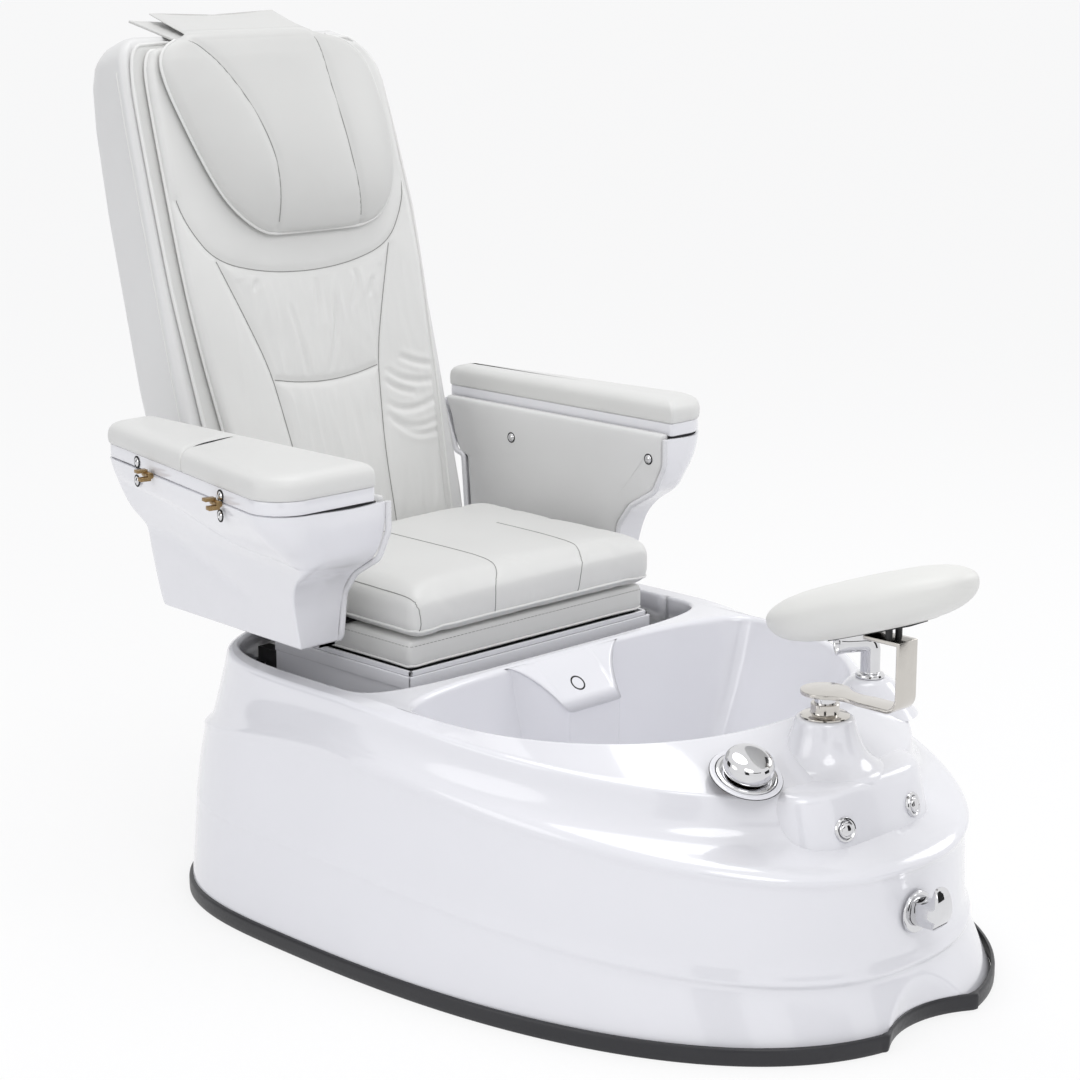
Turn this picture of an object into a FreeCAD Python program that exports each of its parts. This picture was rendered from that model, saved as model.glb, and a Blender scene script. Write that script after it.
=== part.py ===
import FreeCAD, Part
import math
import os
import Sketcher
from FreeCAD import Placement, Rotation, Vector

# Pedicure spa chair: a foot basin tub on the floor with a reclining armchair standing in its rear well.
# Millimetres, Z up, the sitter faces -Y, and X = 0 is the plane of symmetry.
# Heights are above the floor. Depths (Y) are measured from the tub's widest section.

doc = FreeCAD.newDocument("PedicureSpaChair")
sheet = doc.addObject("Spreadsheet::Sheet", "Sizes")
rowCount = 0


def setSizes(group, values):
    """Write one group of driving dimensions to the sheet, each cell with its alias."""
    global rowCount
    for alias, value in values.items():
        rowCount += 1
        sheet.set("A%d" % rowCount, group)
        sheet.set("B%d" % rowCount, str(value))
        sheet.setAlias("B%d" % rowCount, alias)


setSizes("frame", {"sideShift": 30.5, "boxShift": 81, "clearance": 0.5, "runningGap": 0.06})
setSizes("tub", {
    "tubFront": 865, "tubSide": 464, "tubRear": 437, "tubWall": 6,
    "rimFront": 716, "rimSide": 414, "rimRear": 368, "rimHeight": 404, "rimFall": 62, "rimRound": 9,
    "shoulderFront": 826, "shoulderSide": 437, "shoulderRear": 417,
    "shoulderHeight": 327, "shoulderFall": 89, "shoulderRearHeight": 256,
    "skirtFront": 830, "skirtSide": 453, "skirtRear": 428, "skirtHeight": 165, "skirtFall": 71,
    "lipStep": 6, "neckFront": 730, "neckDepth": 38, "deckFront": 600, "deckSide": 395, "deckRear": 349, "deckFall": 7,
    "notchHalf": 111, "notchDepth": 40, "notchTaper": 10, "notchHeight": 94,
    "floorBlunt": 2.4, "frontBlunt": 2.3, "rearBlunt": 3.2,
})
setSizes("trim", {"trimHeight": 26, "trimProud": 4, "trimInside": 8, "trimWeb": 4})
setSizes("basin", {
    "basinCentre": -215, "basinFront": 358, "basinSide": 372, "basinRear": 92, "basinRim": 404,
    "basinFloor": 152, "basinDraftFront": 70, "basinDraftSide": 118, "basinDraftRear": 30,
    "ledgeHalf": 56, "ledgeDepth": -195, "ledgeHeight": 334, "ledgeTopHalf": 190,
})
setSizes("well", {"wellHalf": 372, "wellFront": -103, "wellRear": 342, "wellFlange": 46, "wellFrontBlunt": 4.5,
                 "wellRearBlunt": 4})
setSizes("mounds", {
    "postDepth": -651, "postSeat": 417, "tongueHalf": 124, "tongueFront": -770,
    "spoutAcross": 232, "spoutDepth": -549, "spoutSeat": 406,
})
setSizes("footrest", {
    "flangeRadius": 36, "flangeThick": 4, "sleeveRadius": 20.5, "sleeveRise": 20, "sleeveDrop": 110,
    "postRadius": 15.5, "postRise": 34, "postLift": 60, "spigotRadius": 8, "plateThick": 6, "headRadius": 36,
    "strapHalf": 20.5, "strapBend": 24, "uprightDepth": -795, "uprightTop": 556, "shelfLength": 64,
    "padLength": 352, "padHalf": 98, "padThick": 74, "padTilt": 19, "padDepth": -727, "padHeight": 598,
    "cradleThick": 4, "cradleLength": 150,
})
setSizes("taps", {
    "knobAcross": -172, "knobDepth": -653, "knobSeat": 369, "knobLean": 24, "knobTurn": 18,
    "escutcheonRadius": 52, "collarRadius": 39, "collarHeight": 5, "knobRadius": 35.5, "knobHeight": 19,
    "valveRadius": 24, "valveLength": 70,
    "spoutFlangeRadius": 22, "spoutPipe": 12.5, "spoutBore": 9, "spoutRise": 34, "spoutReach": 30,
    "spoutMouth": 19, "spoutFlangeThick": 7, "valveNeck": 12,
})
setSizes("controls", {
    "buttonAcross": 76, "buttonHeight": 290, "buttonDepth": -751, "buttonLean": 14,
    "bezelRadius": 18.5, "bezelThick": 6, "buttonRadius": 12.5, "buttonTravel": 4, "buttonStem": 24,
    "wasteHeight": 169, "wasteFace": -823, "wasteRingRadius": 31, "wasteRingThick": 5,
    "wasteHubRadius": 19, "wasteHubLength": 36, "leverRise": 47, "leverWidth": 26,
    "wasteShaft": 5,
})
setSizes("drain", {
    "drainDepth": -330, "strainerRadius": 42, "drainBore": 22, "plugRadius": 30, "plugLift": 10, "plugStem": 5,
    "tailRadius": 24, "tailLength": 66, "outletRadius": 20, "outletEnd": 12,
})
setSizes("services", {
    "jetRadius": 44, "jetHeight": 225, "jetDepth": -530, "jetBoss": 22, "jetShaft": 12, "jetThick": 14,
    "pumpRadius": 46, "pumpLength": 105, "inletRadius": 10.5, "portSpread": 14,
    "inletHeight": 12, "inletLength": 44, "hoseBend": 210, "pipeRadius": 8, "mixedHeight": 300,
})
setSizes("frame", {
    "tubeSize": 30, "tubeWall": 2, "frameHalf": 240, "frameFront": -470, "frameRear": 345, "footHeight": 20,
    "footRadius": 19, "footPad": 8, "footStud": 6, "postHalf": 246, "postSize": 24, "rearPostDepth": 285, "frontPostDepth": -30,
    "railHeight": 378, "railRear": 316, "braceWidth": 12, "bracketAcross": 193,
})
setSizes("pedestal", {
    "pedestalHalf": 264, "pedestalFront": -59, "pedestalRear": 262, "pedestalBase": 55, "pedestalTop": 404.3,
    "pedestalWall": 4, "railWidth": 44, "railDepth": 16, "railAcross": 170, "railSlot": 24,
    "panThick": 6, "panHalf": 246, "panRear": 320, "slideTravel": 100,
})
setSizes("seat", {
    "baseCushionHalf": 264, "baseCushionFront": -60, "baseCushionRear": 292, "baseCushionBottom": 411.5, "baseCushionTop": 458,
    "cushionHalf": 272, "cushionFront": -80, "cushionRear": 344, "cushionBottom": 462.5, "cushionTop": 536,
    "cushionCrown": 8, "strapThick": 3, "strapWidth": 46, "strapFront": 96, "strapRear": 226,
    "strapUpright": 150,
})
setSizes("arms", {
    "armInner": 318, "rightArmFront": -71, "rightArmRear": 482, "rightArmTopFront": 536, "rightArmTopRear": 421,
    "leftArmFront": -46, "leftArmRear": 494, "leftArmTopFront": 437, "leftArmTopRear": 390,
    "rightFootFront": 392, "rightFootRear": 376, "leftFootFront": 366, "leftFootRear": 352,
    "armTop": 690, "armBottom": 455, "armWall": 5, "panelFace": 314, "panelThick": 14, "panelRise": 9,
    "lidThick": 21, "lidGap": 1.5, "rightLidInner": 335, "leftLidInner": 331, "armPadThick": 38,
    "armPadSplit": 246, "armPadSlit": 5, "trayDepth": 70, "hingeFront": 92, "hingeRear": 326,
    "knuckleRadius": 5, "knuckleLength": 12, "leafHeight": 17, "hingeStand": 6.5, "studRadius": 7,
    "studRear": 316, "studRearHeight": 643, "studFront": -11, "studFrontHeight": 652,
})
setSizes("back", {
    "recline": 14.6, "backFoot": 350, "backFootHeight": 463, "backTop": 1350,
    "shellHalf": 284, "shellDepth": 184, "surroundHalf": 272, "backPadHalf": 252, "backPadThick": 30,
    "surroundThick": 16, "backWall": 8, "hingeDepth": 396, "hingeHeight": 441, "pivotRadius": 9,
    "backTube": 12, "backTubeHalf": 165, "pillowHalf": 208, "pillowBottom": 1033, "pillowTop": 1344,
    "pillowThick": 50, "flapThick": 10, "flapFrontHalf": 196, "flapRearHalf": 134, "flapEnd": 731,
})
doc.recompute()


def cell(alias):
    """A driving dimension, read from the sheet."""
    return float(sheet.get(alias))


# Outlines and general makers

def roundedPoints(corners):
    """Corners (x, y, radius) to a list of edges' points: each corner is a line end, an arc and a line start."""
    rounded = []
    count = len(corners)
    for index, (x, y, radius) in enumerate(corners):
        here = Vector(x, y, 0)
        before = Vector(*corners[index - 1][:2], 0) - here
        after = Vector(*corners[(index + 1) % count][:2], 0) - here
        before.normalize()
        after.normalize()
        half = before.getAngle(after) / 2
        back = radius / math.tan(half)
        middle = before + after
        middle.normalize()
        peak = here + middle * (radius / math.sin(half) - radius)
        rounded.append((here + before * back, peak, here + after * back))
    return rounded


def roundedWire(corners, height=0.0):
    """Closed horizontal outline with a tangent arc in every corner."""
    rounded = roundedPoints(corners)
    lift = Vector(0, 0, height)
    edges = []
    for index, (start, peak, end) in enumerate(rounded):
        following = rounded[(index + 1) % len(rounded)][0]
        edges.append(Part.Arc(start + lift, peak + lift, end + lift).toShape())
        edges.append(Part.LineSegment(end + lift, following + lift).toShape())
    return Part.Wire(edges)


def roundedRing(corners, height, steps=3):
    """The same outline as points, with that many chords in every corner."""
    points = []
    for start, peak, end in roundedPoints(corners):
        points += Part.Arc(start, peak, end).toShape().discretize(Number=steps + 1)
    return [point + Vector(0, 0, height) for point in points]


def closed(points):
    return Part.makePolygon(points + points[:1])


def facets(corners):
    """A four-cornered patch as one flat face, or as two where it is twisted."""
    first, second, third, fourth = corners
    normal = (second - first).cross(fourth - first)
    if normal.Length and abs(normal.normalize().dot(third - first)) < 1e-6:
        return [Part.Face(closed(corners))]
    return [Part.Face(closed([first, second, third])), Part.Face(closed([first, third, fourth]))]


def stack(rings):
    """Solid through outlines of equal point counts, its sides in flat facets; the end outlines are level."""
    faces = [Part.Face(closed(rings[0])), Part.Face(closed(rings[-1]))]
    for lower, upper in zip(rings, rings[1:]):
        for index in range(len(lower)):
            after = (index + 1) % len(lower)
            faces += facets([lower[index], lower[after], upper[after], upper[index]])
    body = Part.Solid(Part.Shell(faces))
    if body.Volume < 0:
        body.reverse()
    return body


def prism(wire, height):
    return Part.Face(wire).extrude(Vector(0, 0, height))


def box(lowX, highX, lowY, highY, lowZ, highZ):
    return Part.makeBox(highX - lowX, highY - lowY, highZ - lowZ, Vector(lowX, lowY, lowZ))


def rod(radius, start, end):
    """Round bar between two points."""
    run = end - start
    return Part.makeCylinder(radius, run.Length, start, run)


def mirrored(shape):
    return shape.mirror(Vector(0, 0, 0), Vector(1, 0, 0))


def rowShift():
    """From chair coordinates, whose middle plane is the seat's, to the middle of the whole chair's box."""
    return Vector(cell("sideShift"), cell("boxShift"), 0)


def solid(label, shape):
    """A sub-part whose shape is given in chair coordinates, with the place that the shape already has."""
    piece = doc.addObject("Part::Feature", label)
    piece.Label = label
    own = shape.Placement
    piece.Shape = shape
    piece.Placement = Placement(rowShift(), Rotation()).multiply(own)
    return piece


def originPlane(body, role):
    return [plane for plane in body.Origin.OriginFeatures if plane.Role == role][0]


def boundProfile(body, plane, corners):
    """Sketch of straight sides whose corners (across, up) are expressions on the sheet."""
    sketch = body.newObject("Sketcher::SketchObject", body.Label + "Profile")
    sketch.AttachmentSupport = [(originPlane(body, plane), "")]
    sketch.MapMode = "FlatFace"
    count = len(corners)
    start = [Vector(60 + 40 * math.cos(2 * math.pi * i / count), 60 + 40 * math.sin(2 * math.pi * i / count), 0)
             for i in range(count)]
    for index in range(count):
        sketch.addGeometry(Part.LineSegment(start[index], start[(index + 1) % count]), False)
    for index in range(count):
        sketch.addConstraint(Sketcher.Constraint("Coincident", index, 2, (index + 1) % count, 1))
    for index, (across, up) in enumerate(corners):
        for kind, axis, value in (("DistanceX", -2, across), ("DistanceY", -1, up)):
            if value == "0":
                sketch.addConstraint(Sketcher.Constraint("PointOnObject", index, 1, axis))
            else:
                number = sketch.addConstraint(Sketcher.Constraint(kind, -1, 1, index, 1, 10.0 + index))
                sketch.setExpression("Constraints[%d]" % number, value)
    return sketch


def bind(piece, across="0", depth="0", height="0"):
    """Tie a sub-part's place to the sheet, shifted to the middle of the whole chair."""
    piece.setExpression("Placement.Base.x", "Sizes.sideShift + " + across)
    piece.setExpression("Placement.Base.y", "Sizes.boxShift + " + depth)
    piece.setExpression("Placement.Base.z", height)


def turned(label, corners, rotation=None, **place):
    """A body revolved about its own Z axis from (radius, height) expressions."""
    body = doc.addObject("PartDesign::Body", label)
    body.Label = label
    sketch = boundProfile(body, "XZ_Plane", corners)
    revolution = body.newObject("PartDesign::Revolution", label + "Turn")
    revolution.Profile = sketch
    revolution.ReferenceAxis = (sketch, ["V_Axis"])
    revolution.Angle = 360
    if rotation:
        body.Placement = Placement(Vector(0, 0, 0), rotation)
    bind(body, **place)
    return body


def fused(label, pieces):
    union = doc.addObject("Part::MultiFuse", label)
    union.Label = label
    union.Shapes = pieces
    return union


def grouped(label, pieces):
    group = doc.addObject("Part::Compound", label)
    group.Label = label
    group.Links = pieces
    return group


kept = []


def keep(*pieces):
    """Mark sub-parts for the export."""
    kept.extend(pieces)
    return pieces[0]


# Tub: stacked egg outlines, each a superellipse blunter at the back, whose height falls towards the front

def eggRing(front, side, rear, level, frontFall=0.0, rearLevel=None, centre=0.0, blunt=(2.3, 3.2), count=40):
    """Points of an outline; its height drops by frontFall towards the front and runs to rearLevel behind."""
    fallStart = -60.0
    rearLevel = level if rearLevel is None else rearLevel
    points = []
    for index in range(count):
        turn = 2 * math.pi * index / count
        power = 2 / (blunt[0] if math.sin(turn) < 0 else blunt[1])
        x = side * math.copysign(abs(math.cos(turn)) ** power, math.cos(turn))
        reach = front if math.sin(turn) < 0 else rear
        y = centre + reach * math.copysign(abs(math.sin(turn)) ** power, math.sin(turn))
        z = level
        if y < fallStart and frontFall:
            z -= frontFall * ((fallStart - y) / (front + fallStart)) ** 1.2
        elif y > fallStart and rearLevel != level:
            z += (rearLevel - level) * ((y - fallStart) / (rear - fallStart)) ** 1.5
        points.append(Vector(x, y, z))
    return points


def basinRing(grow, level, sink=0.0, fall=0.0):
    """The basin's outline; sink runs from 0 at the rim to 1 at the floor, where the walls have drawn in."""
    return eggRing(cell("basinFront") - sink * cell("basinDraftFront") + grow,
                   cell("basinSide") - sink * cell("basinDraftSide") + grow,
                   cell("basinRear") - sink * cell("basinDraftRear") + grow,
                   level, fall, centre=cell("basinCentre"), blunt=(2.2, 2.9), count=32)


def notch(grow):
    """Toe notch in the front of the tub: an upright cone that dies out in the wall above the trim."""
    half, deep = cell("notchHalf"), cell("notchDepth")
    radius = (half ** 2 + deep ** 2) / (2 * deep)
    middle = -cell("tubFront") + deep - radius
    tall = 3 * cell("notchHeight")
    slope = cell("notchTaper") / cell("notchHeight")
    low = cell("trimHeight") / 2
    return Part.makeCone(radius - grow + slope * low, radius - grow - slope * (tall - low), tall,
                         Vector(0, middle, -low))


def footprint(grow, low, high):
    """Upright slab of the tub's floor outline, grown all round, with the toe notch."""
    ring = eggRing(cell("tubFront") + grow, cell("tubSide") + grow, cell("tubRear") + grow, low,
                   blunt=(cell("floorBlunt"), cell("rearBlunt")))
    return prism(closed(ring), high - low).cut(notch(grow))


def tubTiers():
    """Tiers from the floor to the rim: front, side and rear reach, level at the side, fall, level behind."""
    lip = cell("lipStep")
    skirt, fall = cell("skirtHeight"), cell("skirtFall")
    shoulder, drop, rearward = cell("shoulderHeight"), cell("shoulderFall"), cell("shoulderRearHeight")
    rim, rimDrop, soft = cell("rimHeight"), cell("rimFall"), cell("rimRound")
    skirtFront, skirtSide, skirtRear = cell("skirtFront"), cell("skirtSide"), cell("skirtRear")
    front, side, rear = cell("shoulderFront"), cell("shoulderSide"), cell("shoulderRear")
    rimFront, rimSide, rimRear = cell("rimFront"), cell("rimSide"), cell("rimRear")
    return [
        (cell("tubFront"), cell("tubSide"), cell("tubRear"), cell("trimWeb"), 0, None),
        (skirtFront - lip, skirtSide, skirtRear, skirt - 9, fall, None),
        (skirtFront, skirtSide, skirtRear, skirt, fall, None),
        (skirtFront - 9, skirtSide - 3, skirtRear - 1, skirt + 16, fall, None),
        (front - lip, side, rear, shoulder - 11, drop, rearward - 10),
        (front, side, rear, shoulder, drop, rearward),
        (front - 15, side - 2, rear - 9, shoulder + 9, drop - 8, rearward + 8),
        (front - 58, side - 5, rear - 22, shoulder + 20, drop - 17, rearward + 16),
        (cell("neckFront"), rimSide + 9, rimRear + 20, rim - cell("neckDepth"), rimDrop + 4,
         rim - 2.4 * cell("neckDepth")),
        (rimFront, rimSide, rimRear, rim - soft * 0.7, rimDrop, None),
        (rimFront - soft, rimSide - soft, rimRear - soft, rim, rimDrop, None),
    ]


def tubStack(tiers, grow, cap, count):
    """Solid through tiers, each drawn in by -grow and all but the lowest set down by -cap."""
    rings = []
    for number, (front, side, rear, level, frontFall, rearLevel) in enumerate(tiers):
        lift = cap if number else 0
        blunt = (cell("frontBlunt") if number else cell("floorBlunt"), cell("rearBlunt"))
        rings.append(eggRing(front + grow, side + grow, rear + grow, level + lift, frontFall,
                             None if rearLevel is None else rearLevel + lift, blunt=blunt, count=count))
    # the deck rises to the basin's lip and closes on a small outline over the basin, where it is open anyway
    rings.append(eggRing(cell("deckFront") + grow, cell("deckSide") + grow, cell("deckRear") + grow,
                         cell("rimHeight") + cap, cell("deckFall"),
                         blunt=(cell("frontBlunt"), cell("rearBlunt")), count=count))
    rings.append(eggRing(20, 20, 20, cell("basinRim") + cap, centre=cell("basinCentre") + 60, count=count))
    return stack(rings)


def tongue(grow):
    """Rounded control panel that stands proud of the front wall and rises to the footrest's seat."""
    seat, middle = cell("postSeat") + grow, cell("postDepth")
    half, front = cell("tongueHalf"), cell("tongueFront")
    layers = [(half + 6, front - 4, -560, seat - 196), (half, front, -560, seat - 150),
              (half - 8, front + 16, -562, seat - 90), (half - 26, front + 36, -566, seat - 50),
              (half - 50, front + 62, -576, seat - 20), (half - 72, middle - 40, middle + 40, seat)]
    rings = []
    for wide, near, far, level in layers:
        rings.append(eggRing((far - near) / 2 + grow, wide + grow, (far - near) / 2 + grow, level,
                             centre=(far + near) / 2, blunt=(2.4, 2.4), count=24))
    return stack(rings)


def mound(x, y, seat, top, foot, drop):
    """Low boss that carries a fitting's flange."""
    return Part.makeCone(foot, top, drop, Vector(x, y, seat - drop))


def ledge():
    """Wedge between the two foot wells on the basin's rear wall, with hollow-curved flanks."""
    rearY = cell("basinCentre") + cell("basinRear") + 30
    half, deep, wide = cell("ledgeHalf"), cell("ledgeDepth"), cell("ledgeTopHalf")
    bow = Vector((half + wide) / 2 - 26, (deep + rearY) / 2 - 12, 0)
    corners = [Vector(-wide, rearY, 0), Vector(-half, deep, 0), Vector(half, deep, 0), Vector(wide, rearY, 0)]
    edges = [
        Part.Arc(corners[0], Vector(-bow.x, bow.y, 0), corners[1]).toShape(),
        Part.LineSegment(corners[1], corners[2]).toShape(),
        Part.Arc(corners[2], bow, corners[3]).toShape(),
        Part.LineSegment(corners[3], corners[0]).toShape(),
    ]
    block = Part.Face(Part.Wire(edges)).extrude(Vector(0, 0, cell("basinRim") + 40))
    # the sloping top runs from the ledge up to the rim
    rise = cell("basinRim") - cell("ledgeHeight")
    run = cell("basinCentre") + cell("basinRear") - deep
    top = [Vector(-400, deep, cell("ledgeHeight")), Vector(-400, deep + 2 * run, cell("ledgeHeight") + 2 * rise),
           Vector(-400, deep + 2 * run, 900), Vector(-400, deep - 60, 900),
           Vector(-400, deep - 60, cell("ledgeHeight") - 60 * rise / run)]
    above = Part.Face(Part.makePolygon(top + top[:1])).extrude(Vector(800, 0, 0))
    return block.cut(above)


def knobFrame():
    """Tilted seat of the mixing valve on the sloping deck."""
    turn = Rotation(Vector(0, 0, 1), -cell("knobTurn")).multiply(Rotation(Vector(1, 0, 0), cell("knobLean")))
    return Placement(Vector(cell("knobAcross"), cell("knobDepth"), cell("knobSeat")), turn)


def buttonFrame(sign):
    """Seat of a push button on the tongue; its axis leaves the panel."""
    turn = Rotation(Vector(0, 0, 1), sign * 12).multiply(Rotation(Vector(1, 0, 0), 90 - cell("buttonLean")))
    spot = Vector(sign * cell("buttonAcross"), cell("buttonDepth"), cell("buttonHeight"))
    return Placement(spot, turn)


def wasteFrame():
    turn = Rotation(Vector(1, 0, 0), 90)
    return Placement(Vector(0, cell("wasteFace"), cell("wasteHeight")), turn)


def jetFrame():
    """Seat of the jet on the basin's front wall, inside the basin; its axis points at the sitter's feet."""
    lean = math.degrees(math.atan2(0.56 * cell("basinDraftFront"), 0.4 * (cell("basinRim") - cell("basinFloor"))))
    turn = Rotation(Vector(1, 0, 0), -90 + lean / 2)
    return Placement(Vector(0, cell("jetDepth"), cell("jetHeight")), turn)


def placed(shape, frame):
    moved = shape.copy()
    moved.Placement = frame
    return moved


def drill(radius, frame, out, into):
    """Round hole along a fitting's own axis."""
    tool = Part.makeCylinder(radius, out + into, Vector(0, 0, -into))
    return placed(tool, frame)


def upright(x, y, z):
    return Placement(Vector(x, y, z), Rotation())


def makeTub():
    wall = cell("tubWall")
    tiers = tubTiers()
    outer = tubStack(tiers, 0, 0, 40).fuse(tongue(0))
    outer = outer.fuse(mound(cell("spoutAcross"), cell("spoutDepth"), cell("spoutSeat"), 29, 66, 44))
    bosses = [(cell("escutcheonRadius") + 1, 26, knobFrame()), (cell("bezelRadius") + 1, 16, buttonFrame(1)),
              (cell("bezelRadius") + 1, 16, buttonFrame(-1)), (cell("wasteRingRadius") + 1, 12, wasteFrame())]
    for radius, deep, frame in bosses:
        outer = outer.fuse(drill(radius, frame, 0, deep))
    inside = [tiers[number] for number in (0, 1, 4, 8, 9)]
    inner = tubStack(inside, -wall, -wall, 24).fuse(tongue(-wall)).cut(notch(-wall))
    body = outer.cut(notch(0)).cut(inner)
    body = body.cut(box(-600, 600, -900, 600, -50, cell("trimWeb")))
    rim, floor = cell("basinRim"), cell("basinFloor")
    # the bowl's upper edge runs inside the deck, and a small outline closes it where it is open anyway
    bowl = stack([basinRing(wall, floor - wall, 1), basinRing(wall, floor + 40, 0.72),
                  basinRing(wall, rim - 60, 0.16), basinRing(wall, rim - wall / 2, fall=cell("deckFall") / 2),
                  eggRing(20, 20, 20, rim - wall / 2, centre=cell("basinCentre"), blunt=(2.2, 2.9), count=32)])
    void = stack([basinRing(0, floor, 1), basinRing(0, floor + 40, 0.72), basinRing(0, rim - 60, 0.16),
                  basinRing(0, rim), basinRing(0, rim + 60)])
    body = body.fuse(bowl).fuse(drill(cell("jetRadius") + 2, jetFrame(), 0, cell("jetBoss")))
    body = body.cut(void.cut(ledge()).cut(drill(cell("jetRadius") + 2, jetFrame(), 0, cell("jetBoss"))))
    # rear well for the chair, with its turned-down flange
    def wellWire(grow, level):
        return closed(eggRing(grow - cell("wellFront"), cell("wellHalf") + grow, cell("wellRear") + grow, level,
                              blunt=(cell("wellFrontBlunt"), cell("wellRearBlunt")), count=38))

    low = cell("rimHeight") - cell("wellFlange")
    flange = prism(wellWire(wall, low), cell("wellFlange") - wall / 2)
    body = body.fuse(flange).cut(prism(wellWire(0, low - 100), 300))
    holes = [
        drill(cell("sleeveRadius") + cell("clearance"), upright(0, cell("postDepth"), cell("postSeat")), 40, 90),
        drill(cell("spoutPipe") + 3, upright(cell("spoutAcross"), cell("spoutDepth"), cell("spoutSeat")), 40, 120),
        drill(cell("valveRadius") + 2, knobFrame(), 60, cell("valveLength") + 5),
        drill(cell("bezelRadius") - 4, buttonFrame(1), 60, 40),
        drill(cell("bezelRadius") - 4, buttonFrame(-1), 60, 40),
        drill(cell("wasteHubRadius") - 5, wasteFrame(), 60, 60),
        drill(cell("tailRadius") + cell("clearance"), upright(0, cell("drainDepth"), floor), 30, 30),
        drill(cell("jetShaft") + 2, jetFrame(), 30, 60),
        # seats faced flat under the bezels and the jet
        drill(cell("bezelRadius") + cell("clearance"), buttonFrame(1), 30, 0),
        drill(cell("bezelRadius") + cell("clearance"), buttonFrame(-1), 30, 0),
        drill(cell("jetRadius") + cell("clearance"), jetFrame(), 30, 0),
    ]
    return solid("tub_shell", body.cut(Part.makeCompound(holes)))


def makeTrim(tub):
    """Rubber trim under the tub's edge: a base strip with a lip in front of the wall and one behind it."""
    tall = cell("trimHeight")
    ring = footprint(cell("trimProud"), 0, tall)
    ring = ring.cut(footprint(-cell("tubWall") - cell("trimInside"), -5, tall + 5))
    return solid("base_trim", ring.cut(tub.Shape.copy().translated(-rowShift())))


# Tub fittings

def fitting(label, corners, frame, place):
    return keep(turned(label, corners, frame.Rotation, **place))


def makeFootrestPost():
    seat = {"depth": "Sizes.postDepth", "height": "Sizes.postSeat"}
    bore = "Sizes.postRadius + Sizes.runningGap"
    fitting("footrest_socket", [
        (bore, "-Sizes.sleeveDrop"), ("Sizes.sleeveRadius", "-Sizes.sleeveDrop"), ("Sizes.sleeveRadius", "0"),
        ("Sizes.flangeRadius", "0"), ("Sizes.flangeRadius", "Sizes.flangeThick"),
        ("Sizes.sleeveRadius", "Sizes.flangeThick"), ("Sizes.sleeveRadius", "Sizes.sleeveRise"),
        (bore, "Sizes.sleeveRise"),
    ], upright(0, 0, 0), seat)
    fitting("footrest_post", [
        ("0", "5 - Sizes.sleeveDrop"), ("Sizes.postRadius", "5 - Sizes.sleeveDrop"),
        ("Sizes.postRadius", "Sizes.postRise"), ("Sizes.spigotRadius", "Sizes.postRise"),
        ("Sizes.spigotRadius", "Sizes.postRise + Sizes.plateThick - 2"),
        ("0", "Sizes.postRise + Sizes.plateThick - 2"),
    ], upright(0, 0, 0), seat)


def makeFootrestBracket():
    """Bent steel strap: a round head over the post, a waisted arm, an upright and a shelf under the pad."""
    thick, half, head = cell("plateThick"), cell("strapHalf"), cell("headRadius")
    low = cell("postSeat") + cell("postRise")
    near, middle, top = cell("uprightDepth"), cell("postDepth"), cell("uprightTop")
    waist = middle - head - 36
    ear = Vector(head * 0.8, middle - head * 0.6, low)
    neck, foot = Vector(half - 1, waist + 34, low), Vector(half, waist, low)
    flip = [Vector(-point.x, point.y, point.z) for point in (ear, neck, foot)]
    outline = [
        Part.Arc(flip[0], Vector(0, middle + head, low), ear).toShape(), Part.Arc(ear, neck, foot).toShape(),
        Part.LineSegment(foot, flip[2]).toShape(), Part.Arc(flip[2], flip[1], flip[0]).toShape(),
    ]
    # side outline of the arm, the bend, the upright and the shelf, drawn as (depth, height)
    bend, shelf = cell("strapBend"), near + cell("shelfLength")
    side = roundedWire([(waist, low, 0.01), (near, low, bend), (near, top, 0.01), (shelf, top, 0.01),
                        (shelf, top - thick, 0.01), (near + thick, top - thick, 0.01),
                        (near + thick, low + thick, bend - thick), (waist, low + thick, 0.01)])
    face = Part.Face(side)
    face.rotate(Vector(0, 0, 0), Vector(1, 1, 1), 120)
    arm = face.extrude(Vector(2 * half, 0, 0))
    arm.translate(Vector(-half, 0, 0))
    pocket = Part.makeCylinder(cell("spigotRadius") + cell("runningGap"), thick - 1.5, Vector(0, middle, low))
    keep(solid("footrest_bracket", prism(Part.Wire(outline), thick).fuse(arm).cut(pocket)))


def padFrame():
    return Placement(Vector(0, cell("padDepth"), cell("padHeight")), Rotation(Vector(1, 0, 0), -cell("padTilt")))


def makeFootrestPad():
    """Egg-shaped leg pad, flatter below, with a flat seat for its cradle plate."""
    length, half, thick = cell("padLength") / 2, cell("padHalf"), cell("padThick")
    layers = [(-0.5, 0.52), (-0.36, 0.83), (-0.12, 0.98), (0.08, 1.0), (0.3, 0.88), (0.43, 0.66), (0.5, 0.36)]
    rings = [eggRing(length * wide, half * wide, length * wide, thick * lift, blunt=(2.1, 2.1), count=28)
             for lift, wide in layers]
    pad = stack(rings)
    keep(solid("footrest_pad", placed(pad, padFrame())))
    # cradle plate screwed under the pad, with two bolts down to the shelf
    flat, long = cell("cradleThick"), cell("cradleLength") / 2
    base = -thick / 2
    plate = box(-cell("strapHalf"), cell("strapHalf"), -long, long, base - flat, base)
    plate = placed(plate, padFrame())
    shelf = cell("uprightTop")
    bolts = []
    for y in (cell("uprightDepth") + 26, cell("uprightDepth") + 66):
        for x in (-11, 11):
            bolts.append(Part.makeCylinder(5, 60, Vector(x, y, shelf)))
    under = placed(box(-300, 300, -300, 300, base - flat, 300), padFrame())
    keep(solid("pad_cradle", Part.makeCompound([plate] + [bolt.cut(under) for bolt in bolts])))


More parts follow.
